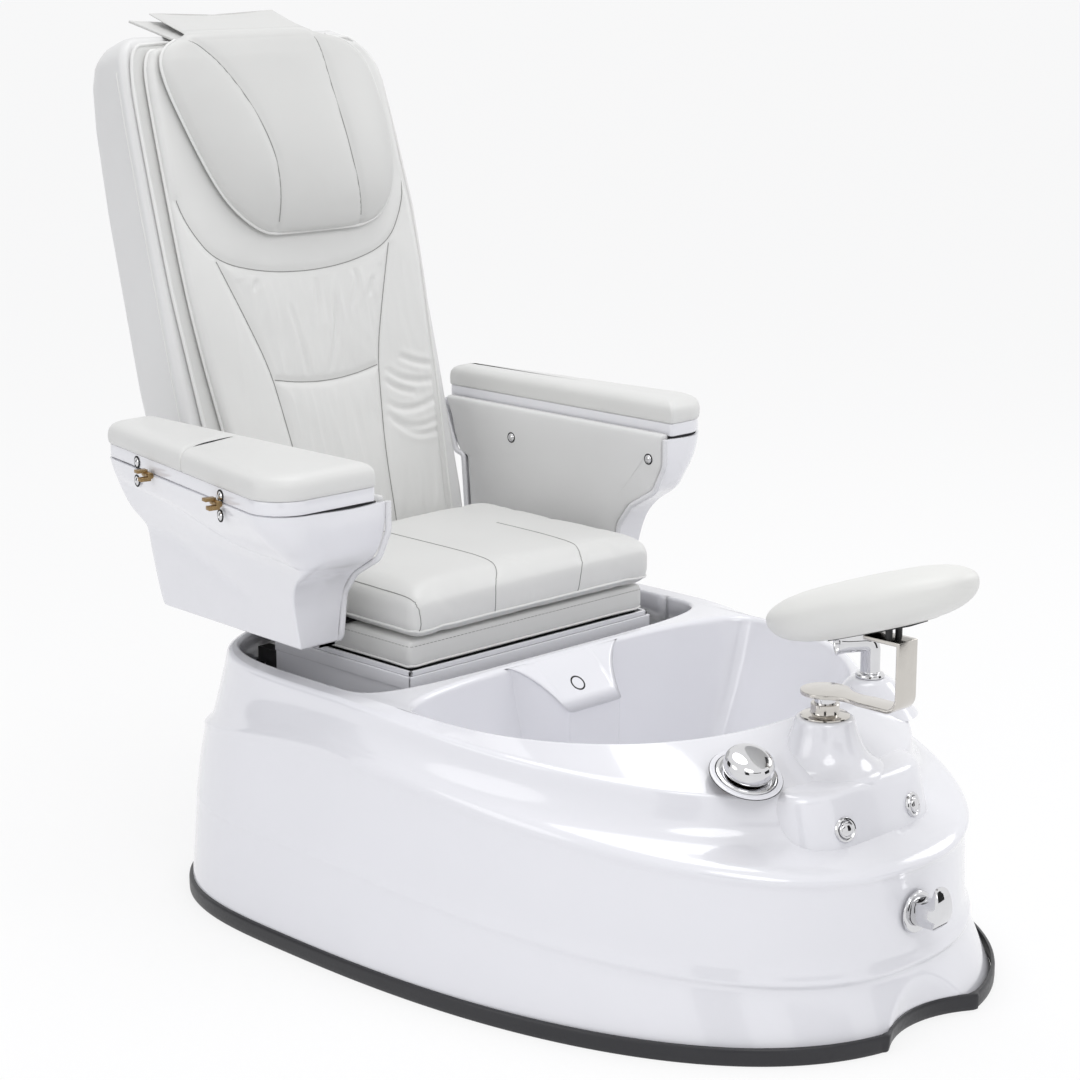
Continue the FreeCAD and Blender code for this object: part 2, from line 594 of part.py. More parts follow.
def tubeRing(centre, normal, side, radius, sides):
    """Outline of a tube's section: a polygon about its centre, turned about the normal."""
    across = normal.cross(side).normalize()
    return [centre + side * (radius * math.cos(turn)) + across * (radius * math.sin(turn))
            for turn in [2 * math.pi * number / sides for number in range(sides)]]


def pipe(points, bend, radius, sides=16):
    """Outlines along a tube of straight runs joined by tangent bends that all lie in one plane."""
    side = (points[1] - points[0]).cross(points[2] - points[1]).normalize()
    rings = [tubeRing(points[0], (points[1] - points[0]).normalize(), side, radius, sides)]
    for before, here, after in zip(points, points[1:], points[2:]):
        back = (before - here).normalize()
        onward = (after - here).normalize()
        half = back.getAngle(onward) / 2
        centre = here + (back + onward).normalize() * (bend / math.sin(half))
        start = here + back * (bend / math.tan(half)) - centre
        steps = max(2, round((math.pi - 2 * half) / 0.4))
        for step in range(steps + 1):
            turn = Rotation(back.cross(onward), math.degrees(2 * half - math.pi) * step / steps)
            rings.append(tubeRing(centre + turn.multVec(start), turn.multVec(-back), side, radius, sides))
    run = (points[-1] - points[-2]).normalize()
    rings.append(tubeRing(points[-1], run, side, radius, sides))
    return rings


def spoutPoints():
    x, y, z = cell("spoutAcross"), cell("spoutDepth"), cell("spoutSeat")
    toBasin = Vector(-0.8, 0.6, 0)
    top = Vector(x, y, z + cell("spoutFlangeThick") + cell("spoutRise") + 14)
    reach = top + toBasin * cell("spoutReach")
    return Vector(x, y, z - 60), top, reach, toBasin


def makeSpout():
    seat = {"across": "Sizes.spoutAcross", "depth": "Sizes.spoutDepth", "height": "Sizes.spoutSeat"}
    fitting("spout_flange", [
        ("Sizes.spoutPipe + Sizes.runningGap", "-20"), ("Sizes.spoutPipe + 2.5", "-20"),
        ("Sizes.spoutPipe + 2.5", "0"), ("Sizes.spoutFlangeRadius", "0"),
        ("Sizes.spoutFlangeRadius", "Sizes.spoutFlangeThick"),
        ("Sizes.spoutPipe + Sizes.runningGap", "Sizes.spoutFlangeThick"),
    ], upright(0, 0, 0), seat)
    foot, top, reach, toBasin = spoutPoints()
    radius, bore, mouth = cell("spoutPipe"), cell("spoutBore"), cell("spoutMouth")
    sides = 20
    # the turning stem is truly round; the elbow and the flared mouth are in facets
    collar = foot + Vector(0, 0, 60 + cell("spoutFlangeThick") + 4)
    rings = pipe([collar - Vector(0, 0, 3), top, reach], radius + 5, radius - 0.05, sides)
    side = Vector(0, 0, 1).cross(toBasin).normalize()
    rings.append(tubeRing(reach + toBasin * 24, toBasin, side, mouth, sides))
    hollow = [tubeRing(reach, toBasin, side, bore, sides),
              tubeRing(reach + toBasin * 24.5, toBasin, side, mouth - 2.5, sides)]
    waterway = rod(bore, foot, top).fuse(stack(pipe([top, top + toBasin * 12, reach], 5, bore, sides)[:1] + hollow))
    keep(solid("spout", rod(radius, foot, collar).fuse(stack(rings)).cut(waterway)))


def makeMixer():
    place = {"across": "Sizes.knobAcross", "depth": "Sizes.knobDepth", "height": "Sizes.knobSeat"}
    frame = knobFrame()
    fitting("mixer_valve", [
        ("0", "-Sizes.valveLength"), ("Sizes.valveRadius", "-Sizes.valveLength"), ("Sizes.valveRadius", "0"),
        ("Sizes.valveRadius + 6", "0"), ("Sizes.valveRadius + 6", "3"), ("Sizes.valveNeck", "3"),
        ("Sizes.valveNeck", "Sizes.collarHeight + 4"), ("0", "Sizes.collarHeight + 4"),
    ], frame, place)
    fitting("mixer_escutcheon", [
        ("Sizes.valveRadius + 6 + Sizes.clearance", "0"), ("Sizes.escutcheonRadius", "0"),
        ("Sizes.escutcheonRadius", "2"), ("Sizes.collarRadius", "2"), ("Sizes.collarRadius", "Sizes.collarHeight"),
        ("Sizes.valveRadius + 6 + Sizes.clearance", "Sizes.collarHeight"),
    ], frame, place)
    bore = "Sizes.valveNeck + Sizes.runningGap"
    low = "Sizes.collarHeight + 1"
    fitting("mixer_knob", [
        (bore, low), ("Sizes.knobRadius", low), ("Sizes.knobRadius", "Sizes.collarHeight + Sizes.knobHeight"),
        ("0", "Sizes.collarHeight + Sizes.knobHeight"), ("0", "Sizes.collarHeight + 6"),
        (bore, "Sizes.collarHeight + 6"),
    ], frame, place)


def makeButtons():
    """Two air push buttons in bezels, each over its air switch."""
    bore = "Sizes.buttonRadius + Sizes.runningGap"
    bezels, switches = [], []
    for side, sign in (("right", -1), ("left", 1)):
        place = {"across": "%d * Sizes.buttonAcross" % sign, "depth": "Sizes.buttonDepth",
                 "height": "Sizes.buttonHeight"}
        turn = buttonFrame(sign).Rotation
        bezels.append(turned("buttonBezel" + side, [
            (bore, "-30"), ("Sizes.bezelRadius - 4.5", "-30"), ("Sizes.bezelRadius - 4.5", "0"),
            ("Sizes.bezelRadius", "0"), ("Sizes.bezelRadius", "Sizes.bezelThick"),
            (bore, "Sizes.bezelThick"),
        ], turn, **place))
        fitting("push_button_" + side, [
            ("0", "-Sizes.buttonStem"), ("Sizes.buttonRadius", "-Sizes.buttonStem"),
            ("Sizes.buttonRadius", "Sizes.bezelThick"), ("0", "Sizes.bezelThick"),
        ], buttonFrame(sign), place)
        switches.append(turned("airSwitch" + side, [
            ("0", "-54"), ("Sizes.bezelRadius - 4.5", "-54"), ("Sizes.bezelRadius - 4.5", "-30"), ("0", "-30"),
        ], turn, **place))
    keep(grouped("button_bezels", bezels), grouped("air_switches", switches))


def makeWaste():
    """Turning handle on the front wall that works the drain plug through a cable."""
    place = {"depth": "Sizes.wasteFace", "height": "Sizes.wasteHeight"}
    frame = wasteFrame()
    hub = "Sizes.wasteHubRadius"
    fitting("drain_escutcheon", [
        (hub + " + Sizes.clearance", "0"), ("Sizes.wasteRingRadius", "0"),
        ("Sizes.wasteRingRadius", "Sizes.wasteRingThick"),
        (hub + " + Sizes.clearance", "Sizes.wasteRingThick"),
    ], frame, place)
    fitting("drain_cable_box", [
        ("0", "-40"), (hub + " - 5.5", "-40"), (hub + " - 5.5", "0"), (hub + " - 1", "0"),
        (hub + " - 1", "2"), ("Sizes.wasteShaft", "2"), ("Sizes.wasteShaft", "12"), ("0", "12"),
    ], frame, place)
    radius, long, tip = cell("wasteHubRadius"), cell("wasteHubLength"), cell("leverRise")
    low = 2.5
    side = [
        Part.LineSegment(Vector(0, -radius, low), Vector(0, -radius, long)).toShape(),
        Part.Arc(Vector(0, -radius, long), Vector(0, radius * 0.4, long + 13), Vector(0, tip, long + 5)).toShape(),
        Part.LineSegment(Vector(0, tip, long + 5), Vector(0, tip - 1, long + 2)).toShape(),
        Part.Arc(Vector(0, tip - 1, long + 2), Vector(0, tip * 0.55, long - 4),
                 Vector(0, radius, long * 0.45)).toShape(),
        Part.LineSegment(Vector(0, radius, long * 0.45), Vector(0, radius, low)).toShape(),
        Part.LineSegment(Vector(0, radius, low), Vector(0, -radius, low)).toShape(),
    ]
    profile = Part.Face(Part.Wire(side)).extrude(Vector(4 * radius, 0, 0))
    profile.translate(Vector(-2 * radius, 0, 0))
    wide = cell("leverWidth") / 2
    front = [
        Part.Arc(Vector(-radius, 0, 0), Vector(0, -radius, 0), Vector(radius, 0, 0)).toShape(),
        Part.LineSegment(Vector(radius, 0, 0), Vector(wide, tip - 8, 0)).toShape(),
        Part.Arc(Vector(wide, tip - 8, 0), Vector(0, tip, 0), Vector(-wide, tip - 8, 0)).toShape(),
        Part.LineSegment(Vector(-wide, tip - 8, 0), Vector(-radius, 0, 0)).toShape(),
    ]
    handle = profile.common(prism(Part.Wire(front), 2 * long))
    shaft = cell("wasteShaft") + cell("runningGap")
    # only the round hub enters the escutcheon
    face = cell("wasteRingThick") + cell("clearance")
    collar = Part.makeCylinder(3 * radius, face).cut(Part.makeCylinder(radius, face))
    handle = handle.cut(Part.makeCylinder(shaft, 10.5, Vector(0, 0, low))).cut(collar)
    keep(solid("drain_knob", placed(handle, frame)))


def makeDrain():
    y, floor, bore = cell("drainDepth"), cell("basinFloor"), cell("drainBore")
    base = Vector(0, y, floor)
    tail, outlet = cell("tailRadius"), cell("outletRadius")
    pipeWall = cell("tailRadius") - cell("drainBore")
    guide = cell("plugStem") + cell("runningGap")
    low = floor - cell("tailLength")
    body = Part.makeCylinder(cell("strainerRadius"), 2.5, base)
    body = body.fuse(Part.makeCylinder(tail, cell("tailLength"), Vector(0, y, low)))
    body = body.cut(Part.makeCylinder(bore, 200, Vector(0, y, low - 50)))
    bar = box(-bore - 1, bore + 1, y - 2.5, y + 2.5, floor - 40, floor - 34)
    cross = bar.fuse(box(-2.5, 2.5, y - bore - 1, y + bore + 1, floor - 40, floor - 34))
    cross = cross.fuse(Part.makeCylinder(guide + 3, 14, Vector(0, y, floor - 44)))
    body = body.fuse(cross).cut(Part.makeCylinder(guide, 60, Vector(0, y, floor - 60)))
    keep(solid("basin_drain", body))
    outside = Part.makeCylinder(tail, 12, Vector(0, y, low - 12))
    outside = outside.fuse(Part.makeCylinder(outlet, low - 12 - cell("outletEnd"), Vector(0, y, cell("outletEnd"))))
    keep(solid("waste_pipe", outside.cut(Part.makeCylinder(outlet - pipeWall, low, Vector(0, y, 0)))))
    plug = Part.makeCylinder(cell("plugStem"), 56, Vector(0, y, floor - 50))
    plug = plug.fuse(Part.makeCylinder(bore - 1, 3.5, Vector(0, y, floor - 0.5)))
    plug = plug.fuse(Part.makeCylinder(cell("plugRadius"), 3, Vector(0, y, floor + 2.8)))
    keep(solid("drain_plug", plug))


def makeJet():
    frame = jetFrame()
    boss, radius = cell("jetBoss"), cell("jetRadius")
    cover = Part.makeCylinder(radius, cell("jetThick"))
    for number in range(6):
        port = box(radius * 0.34, radius * 0.72, -3, 3, -1, 40)
        port.rotate(Vector(0, 0, 0), Vector(0, 0, 1), 60 * number)
        cover = cover.cut(port)
    cover = cover.cut(Part.makeCylinder(cell("jetShaft") + 1, 6, Vector(0, 0, 0)))
    keep(solid("jet_cover", placed(cover, frame)))
    motor = Part.makeCylinder(cell("pumpRadius"), cell("pumpLength"), Vector(0, 0, -boss - cell("pumpLength")))
    motor = motor.fuse(Part.makeCylinder(cell("jetShaft"), boss + 4, Vector(0, 0, -boss)))
    keep(solid("jet_motor", placed(motor, frame)))


def makePipes():
    """Hot and cold stubs above the floor, their hoses to the valve, and the mixed pipe to the spout."""
    stubs, hoses = [], []
    axis = knobFrame()
    deep, low = cell("valveLength"), cell("inletHeight")
    for sign in (-1, 1):
        port = axis.multVec(Vector(sign * cell("portSpread"), 0, -deep))
        along = axis.Rotation.multVec(Vector(0, 0, 1))
        corner = port - along * ((port.z - cell("hoseBend")) / along.z)
        # the stub stands straight under the point where the hose turns up to the valve
        foot = Vector(corner.x, corner.y, low)
        start = foot + Vector(0, 0, cell("inletLength"))
        stubs.append(rod(cell("inletRadius"), foot, start))
        hoses.append(stack(pipe([start, corner, port], 60, cell("pipeRadius"))))
    keep(solid("water_inlets", Part.makeCompound(stubs)))
    keep(solid("supply_hoses", Part.makeCompound(hoses)))
    foot = spoutPoints()[0]
    side = axis.multVec(Vector(cell("valveRadius") + 3, 0, -deep * 0.8))
    corner = Vector(foot.x, foot.y, cell("mixedHeight"))
    keep(solid("mixed_pipe", stack(pipe([side, corner, foot], 30, cell("pipeRadius")))))


# Steel under-frame and the chair's stand

def bar(label, lowX, sizeX, lowY, sizeY, lowZ, sizeZ, rotation=None):
    """Rectangular bar whose place and sizes are expressions; depths are shifted with the chair."""
    piece = doc.addObject("Part::Box", label)
    for name, value in (("Length", sizeX), ("Width", sizeY), ("Height", sizeZ)):
        piece.setExpression(name, value)
    if rotation:
        piece.Placement = Placement(Vector(0, 0, 0), rotation)
    bind(piece, lowX, lowY, lowZ)
    return piece


def sided(expression, sign, width):
    """Low X of a bar of that width whose centre line is at +-expression."""
    return "%s(%s) - (%s) / 2" % ("-" if sign < 0 else "", expression, width)


def makeFrames():
    tube = "Sizes.tubeSize"
    bars = []
    for number, sign in enumerate((-1, 1)):
        bars.append(bar("frameRail%d" % number, sided("Sizes.frameHalf", sign, tube), tube, "Sizes.frameFront",
                        "Sizes.frameRear - Sizes.frameFront", "Sizes.footHeight", tube))
    for number, depth in enumerate(("Sizes.frameFront", "Sizes.frontPostDepth - Sizes.tubeSize / 2",
                                    "Sizes.frameRear - Sizes.tubeSize")):
        bars.append(bar("frameCross%d" % number, "-Sizes.frameHalf", "2 * Sizes.frameHalf", depth, tube,
                        "Sizes.footHeight", tube))
    keep(fused("base_frame", bars))
    feet = []
    for sign in (-1, 1):
        for depth in (cell("frameFront") + 20, cell("frameRear") - 20):
            spot = Vector(sign * cell("frameHalf"), depth, 0)
            levels = ((cell("footRadius"), 0), (cell("footRadius"), 5), (cell("footStud"), cell("footPad")),
                      (cell("footStud"), cell("footHeight")))
            feet.append(stack([tubeRing(spot + Vector(0, 0, level), Vector(0, 0, 1), Vector(1, 0, 0), radius, 16)
                               for radius, level in levels]))
    keep(solid("levelling_feet", Part.makeCompound(feet)))

    size, low = "Sizes.postSize", "Sizes.footHeight + Sizes.tubeSize"
    stand = []
    for number, sign in enumerate((-1, 1)):
        left = sided("Sizes.postHalf", sign, size)
        for name, depth in (("Front", "Sizes.frontPostDepth"), ("Rear", "Sizes.rearPostDepth")):
            stand.append(bar("post%s%d" % (name, number), left, size, depth + " - Sizes.postSize / 2", size,
                             low, "Sizes.railHeight - (" + low + ")"))
        stand.append(bar("topRail%d" % number, left, size, "Sizes.frontPostDepth - Sizes.postSize / 2",
                         "Sizes.railRear - Sizes.frontPostDepth + Sizes.postSize / 2",
                         "Sizes.railHeight - Sizes.postSize", size))
        lean = Rotation(Vector(1, 0, 0), -19)
        stand.append(bar("brace%d" % number, sided("Sizes.postHalf + Sizes.postSize / 2 - 3", sign, "6"), "6",
                         "Sizes.rearPostDepth + 3", "Sizes.braceWidth", "Sizes.railHeight - 88", "72", lean))
    for number, depth in enumerate(("Sizes.frontPostDepth", "Sizes.rearPostDepth")):
        stand.append(bar("beam%d" % number, "-Sizes.postHalf", "2 * Sizes.postHalf",
                         depth + " - Sizes.postSize / 2", size, "Sizes.railHeight - Sizes.postSize", size))
    keep(fused("chair_stand", stand))

    rails = []
    for number, sign in enumerate((-1, 1)):
        whole = bar("slideRailBar%d" % number, sided("Sizes.railAcross", sign, "Sizes.railWidth"),
                    "Sizes.railWidth", "Sizes.frontPostDepth - 10", "Sizes.railRear - Sizes.frontPostDepth",
                    "Sizes.railHeight", "Sizes.railDepth")
        groove = bar("slideRailGroove%d" % number, sided("Sizes.railAcross", sign, "Sizes.railSlot"),
                     "Sizes.railSlot", "Sizes.frontPostDepth - 20", "600", "Sizes.railHeight + 4", "50")
        rail = doc.addObject("Part::Cut", "slideRail%d" % number)
        rail.Base = whole
        rail.Tool = groove
        rails.append(rail)
    keep(grouped("slide_rails", rails))


def makePedestal():
    wall, high = "Sizes.pedestalWall", "Sizes.pedestalTop - Sizes.pedestalBase"
    outer = bar("pedestalOuter", "-Sizes.pedestalHalf", "2 * Sizes.pedestalHalf", "Sizes.pedestalFront",
                "Sizes.pedestalRear - Sizes.pedestalFront", "Sizes.pedestalBase", high)
    inner = bar("pedestalHollow", "-Sizes.pedestalHalf + " + wall, "2 * (Sizes.pedestalHalf - Sizes.pedestalWall)",
                "Sizes.pedestalFront + " + wall,
                "Sizes.pedestalRear - Sizes.pedestalFront - 2 * Sizes.pedestalWall", "Sizes.pedestalBase - 10",
                high + " + 20")
    # the rear wall stands lower, so that the stand's rails pass over it
    lower = bar("pedestalNotch", "-Sizes.pedestalHalf + " + wall, "2 * (Sizes.pedestalHalf - Sizes.pedestalWall)",
                "Sizes.pedestalRear - 2 * " + wall, "4 * " + wall, "Sizes.railHeight - Sizes.postSize - 2", "200")
    skirt = doc.addObject("Part::Cut", "pedestal")
    skirt.Base = outer
    skirt.Tool = fused("pedestalCuts", [inner, lower])
    keep(skirt)


# Seat carriage and cushions

def makeCarriage():
    parts = [bar("panPlate", "-Sizes.panHalf", "2 * Sizes.panHalf", "Sizes.pedestalFront + 12",
                 "Sizes.panRear - Sizes.pedestalFront - 12", "Sizes.baseCushionBottom - 0.5 - Sizes.panThick",
                 "Sizes.panThick")]
    for number, sign in enumerate((-1, 1)):
        parts.append(bar("runner%d" % number, sided("Sizes.railAcross", sign, "Sizes.railSlot - 2 * Sizes.clearance"),
                         "Sizes.railSlot - 2 * Sizes.clearance", "Sizes.frontPostDepth",
                         "Sizes.wellRear - Sizes.slideTravel - 11 - Sizes.frontPostDepth",
                         "Sizes.railHeight + 4 + Sizes.clearance",
                         "Sizes.baseCushionBottom - 2 - Sizes.railHeight - 4 - Sizes.clearance"))
        side = "Sizes.bracketAcross"
        parts.append(bar("backCheek%d" % number, sided(side, sign, "6"), "6", "Sizes.panRear - 20",
                         "Sizes.hingeDepth - Sizes.panRear + 34", "Sizes.baseCushionBottom - 3",
                         "Sizes.hingeHeight + 14 - Sizes.baseCushionBottom + 3"))
        pin = doc.addObject("Part::Cylinder", "pivotPin%d" % number)
        pin.setExpression("Radius", "Sizes.pivotRadius")
        pin.setExpression("Height", "24")
        pin.Placement = Placement(Vector(0, 0, 0), Rotation(Vector(0, 1, 0), -90 * sign))
        bind(pin, "%s(Sizes.bracketAcross)" % ("-" if sign < 0 else ""), "Sizes.hingeDepth", "Sizes.hingeHeight")
        parts.append(pin)
    keep(fused("seat_carriage", parts))


def padRing(half, front, rear, level, corner):
    return roundedRing([(-half, front, corner), (half, front, corner), (half, rear, corner * 0.5),
                        (-half, rear, corner * 0.5)], level)


def makeSeat():
    half, front, rear = cell("baseCushionHalf"), cell("baseCushionFront"), cell("baseCushionRear")
    low, top = cell("baseCushionBottom"), cell("baseCushionTop")
    rings = [padRing(half - 2, front + 2, rear, low, 10), padRing(half, front, rear, low + 4, 12),
             padRing(half, front, rear, top - 8, 12), padRing(half - 5, front + 5, rear - 2, top, 12)]
    keep(solid("seat_base_cushion", stack(rings)))
    half, front, rear = cell("cushionHalf"), cell("cushionFront"), cell("cushionRear")
    low, top, crown = cell("cushionBottom"), cell("cushionTop"), cell("cushionCrown")
    rings = [padRing(half - 8, front + 10, rear, low, 16), padRing(half - 1, front + 2, rear, low + 14, 20),
             padRing(half, front, rear, low + 36, 24), padRing(half - 5, front + 5, rear - 2, top - 16, 26),
             padRing(half - 22, front + 22, rear - 8, top - 4, 34),
             padRing(half - 90, front + 100, rear - 70, top + crown - 4, 60)]
    keep(solid("seat_cushion", stack(rings)))
    straps = []
    thick = cell("strapThick")
    level = cell("baseCushionTop") + 0.5
    reach = cell("panelFace") + 28
    for depth in (cell("strapFront"), cell("strapRear")):
        flat = box(-reach, reach, depth, depth + cell("strapWidth"), level, level + thick)
        for sign in (-1, 1):
            x = sign * reach
            end = box(min(x, x - sign * thick), max(x, x - sign * thick), depth, depth + cell("strapWidth"),
                      level, level + cell("strapUpright"))
            flat = flat.fuse(end)
        straps.append(flat)
    keep(solid("arm_straps", Part.makeCompound(straps)))


# Armrests, drawn on the sitter's right side (-X); the left one is narrower and is mirrored into place

armStations = [
    # share of the height, front and rear depth, share of the flare at the front and rear, corner radius
    (0.0, 42, -66, 0, 0, 20),
    (0.1, 40, -55, 0.04, 0.06, 22),
    (0.34, 30, -54, 0.16, 0.26, 25),
    (0.5, 4, -55, 0.26, 0.4, 28),
    (0.6, -40, -54, 0.32, 0.48, 34),
    (0.62, -48, -38, 0.38, 0.6, 38),
    (0.79, -66, -20, 0.77, 0.82, 48),
    (0.9, -71, -9, 0.93, 0.92, 54),
    (1.0, -71, 0, 1, 1, 55),
]


def armRing(side, share, inset, lift=0.0, inner=None):
    """Plan outline of an arm at a share of its height, drawn in by inset."""
    before = [row for row in armStations if row[0] <= share][-1]
    after = [row for row in armStations if row[0] >= share][0]
    part = 0 if after[0] == before[0] else (share - before[0]) / (after[0] - before[0])
    front, rear, flareFront, flareRear, corner = [a + (b - a) * part for a, b in zip(before[1:], after[1:])]
    front += cell(side + "ArmFront") + 71 + inset
    rear += cell(side + "ArmRear") - inset
    footFront, footRear = cell(side + "FootFront"), cell(side + "FootRear")
    outFront = footFront + flareFront * (cell(side + "ArmTopFront") - footFront) - inset
    outRear = footRear + flareRear * (cell(side + "ArmTopRear") - footRear) - inset
    level = cell("armBottom") + share * (cell("armTop") - cell("armBottom")) + lift
    near = cell("armInner") + inset if inner is None else inner
    wide = min(outRear, outFront) - near
    outer = max(min(corner - inset / 2, wide * 0.7), 1)
    return roundedRing([(-near, rear, 1), (-outRear, rear, min(20, wide * 0.3)), (-outFront, front, outer),
                        (-near, front, 1)], level, 4)


def armSide(side):
    """Side outline of the arm in the Y-Z plane, as a face at X = 0."""
    front, rear = cell(side + "ArmFront"), cell(side + "ArmRear")
    low, top = cell("armBottom"), cell("armTop")
    corners = [(front, top, 3), (front, top - 40, 12), (front + 21, top - 90, 30), (front + 78, top - 122, 24),
               (front + 104, top - 158, 24), (front + 113, low, 14), (rear - 66, low, 14),
               (rear - 55, top - 95, 8), (rear - 36, top - 90, 8), (rear, top, 3)]
    face = Part.Face(roundedWire(corners))
    face.rotate(Vector(0, 0, 0), Vector(1, 1, 1), 120)
    return face


def sideSlab(side, grow, fromX, toX):
    """Slab of the arm's side outline, drawn in by -grow, between two distances right of the centre plane."""
    face = armSide(side) if grow == 0 else armSide(side).makeOffset2D(grow)
    slab = face.extrude(Vector(toX - fromX, 0, 0))
    slab.translate(Vector(-toX, 0, 0))
    return slab


def hingeLine(side):
    """Pivot line of an arm lid, just outside the arm's top outer edge."""
    rear = Vector(-cell(side + "ArmTopRear"), cell(side + "ArmRear"), 0)
    front = Vector(-cell(side + "ArmTopFront"), cell(side + "ArmFront"), 0)
    along = (front - rear).normalize()
    out = Vector(along.y, -along.x, 0)
    level = Vector(0, 0, cell("armTop") + cell("lidGap") / 2)
    return rear + out * cell("hingeStand") + level, along, out


def hingeSpots(side):
    start, along, out = hingeLine(side)
    return [start + along * ((start.y - depth) / -along.y) for depth in (cell("hingeFront"), cell("hingeRear"))]


def hingeTab(side, middle, low, high, near, far, grow=0.0):
    """Leaf of a hinge: a plate from the pivot line into the arm or lid, between two stations along the line."""
    along = hingeLine(side)[1]
    reach = cell("leafHeight") + grow
    tab = box(-0.5, reach, near - grow, far + grow, low - grow, high + grow)
    tab.Placement = Placement(middle, Rotation(Vector(0, 1, 0), along))
    return tab


def hingeHalf(side, low, high, near, far):
    along = hingeLine(side)[1]
    pieces = []
    for middle in hingeSpots(side):
        knuckle = rod(cell("knuckleRadius"), middle + along * near, middle + along * far)
        pieces.append(knuckle.fuse(hingeTab(side, middle, low, high, near, far)))
    return Part.makeCompound(pieces)


def strapGaps():
    gaps = []
    low = cell("baseCushionTop") - 1
    for depth in (cell("strapFront"), cell("strapRear")):
        gaps.append(box(-400, -280, depth - 1, depth + cell("strapWidth") + 1, low, low + cell("strapThick") + 3))
    return Part.makeCompound(gaps)


def makeArm(side):
    wall, thick = cell("armWall"), cell("panelThick")
    inner = cell("panelFace") + thick
    top = cell("armTop")
    shell = stack([armRing(side, row[0], 0, inner=cell("armInner")) for row in armStations])
    shares = (0, 0.34, 0.6, 0.79, 1)
    hollow = [armRing(side, share, wall, wall * (share == 0), inner=cell("armInner") - 30) for share in shares]
    hollow.append(armRing(side, 1, wall, 40, inner=cell("armInner") - 30))
    shell = shell.cut(stack(hollow)).cut(strapGaps())
    knuckle = cell("knuckleLength")
    bodyZone = (-8, -2, knuckle / 2 + 0.3, knuckle * 1.5)
    lidZone = (3, 8, -knuckle / 2, knuckle / 2)
    for middle in hingeSpots(side):
        shell = shell.cut(hingeTab(side, middle, *bodyZone, grow=0.4))
    lidLow = cell("lidGap")
    lidTop = lidLow + cell("lidThick")
    near = cell(side + "LidInner")
    lid = stack([armRing(side, 1, 1, lidLow, near), armRing(side, 1, 1, lidTop, near)])
    for middle in hingeSpots(side):
        lid = lid.cut(hingeTab(side, middle, *lidZone, grow=0.4))
    # tray that lines the top of the arm
    inset = wall + 3.5
    trayLow = 1 - cell("trayDepth") / (top - cell("armBottom"))
    tray = stack([armRing(side, trayLow, inset + 2, inner=inner + 1), armRing(side, 1, inset, -1, inner + 1)])
    tray = tray.cut(stack([armRing(side, trayLow, inset + 5, 3, inner + 4),
                           armRing(side, 1, inset + 3, 1, inner + 4)])).cut(shell)
    panel = sideSlab(side, -wall - 1.5, cell("panelFace"), inner)
    upper = box(-inner, -cell("panelFace"), cell(side + "ArmFront") + wall + 2, cell(side + "ArmRear") - wall - 8,
                top - 12, top + cell("panelRise"))
    bead = sideSlab(side, -0.5, cell("panelFace") - 3, cell("armInner"))
    bead = bead.cut(sideSlab(side, -wall - 1, cell("panelFace") - 9, cell("armInner") + 9))
    bead = bead.cut(strapGaps()).cut(box(-400, -280, -200, 600, top - 3, top + 5))
    panel = panel.fuse(upper).cut(strapGaps()).cut(shell).cut(bead)
    pieces = {
        "arm_shell": shell, "arm_tray": tray, "arm_panel": panel, "arm_bead": bead,
        "arm_lid": lid, "lid_knuckles": hingeHalf(side, *lidZone),
    }
    pieces.update(armPads(side, lidTop, near))
    for name, shape in pieces.items():
        keep(solid(name + "_" + side, sideways(shape, side)))
    return sideways(hingeHalf(side, *bodyZone), side), sideways(armStuds(), side)


def sideways(shape, side):
    return shape if side == "right" else mirrored(shape)


def armStuds():
    studs = []
    radius = cell("studRadius")
    for depth, height in ((cell("studRear"), cell("studRearHeight")), (cell("studFront"), cell("studFrontHeight"))):
        studs.append(Part.makeCylinder(radius, 3, Vector(-cell("panelFace"), depth, height), Vector(1, 0, 0)))
    return Part.makeCompound(studs)


def makeArms():
    right, left = makeArm("right"), makeArm("left")
    keep(solid("lid_hinges", Part.makeCompound([right[0], left[0]])))
    keep(solid("arm_studs", Part.makeCompound([right[1], left[1]])))


def armPads(side, top, near):
    """Lid pad with a rounded upper edge; the right one is in two lengths with a slit between."""
    thick = cell("armPadThick")
    layers = [(0.5, 0.3), (-1.5, 4), (-1.5, thick * 0.6), (3, thick * 0.84), (11, thick * 0.96), (24, thick)]
    pad = stack([armRing(side, 1, inset, top + lift, near + max(inset, 0) * 0.8) for inset, lift in layers])
    if side == "left":
        return {"arm_pad": pad}
    split, slit = cell("armPadSplit"), cell("armPadSlit") / 2
    beyond = 900
    return {"arm_pad_front": pad.cut(box(-beyond, 0, split - slit, beyond, 0, 2000)),
            "arm_pad_rear": pad.cut(box(-beyond, 0, -beyond, split + slit, 0, 2000))}


# Reclining back, in horizontal slices along the recline line

def backFace(level):
    return cell("backFoot") + (level - cell("backFootHeight")) * math.tan(math.radians(cell("recline")))


def backRing(level, half, near, far, corner):
    face = backFace(level)
    return roundedRing([(-half, face + near, corner[0]), (half, face + near, corner[0]),
                        (half, face + far, corner[1]), (-half, face + far, corner[1])], level)


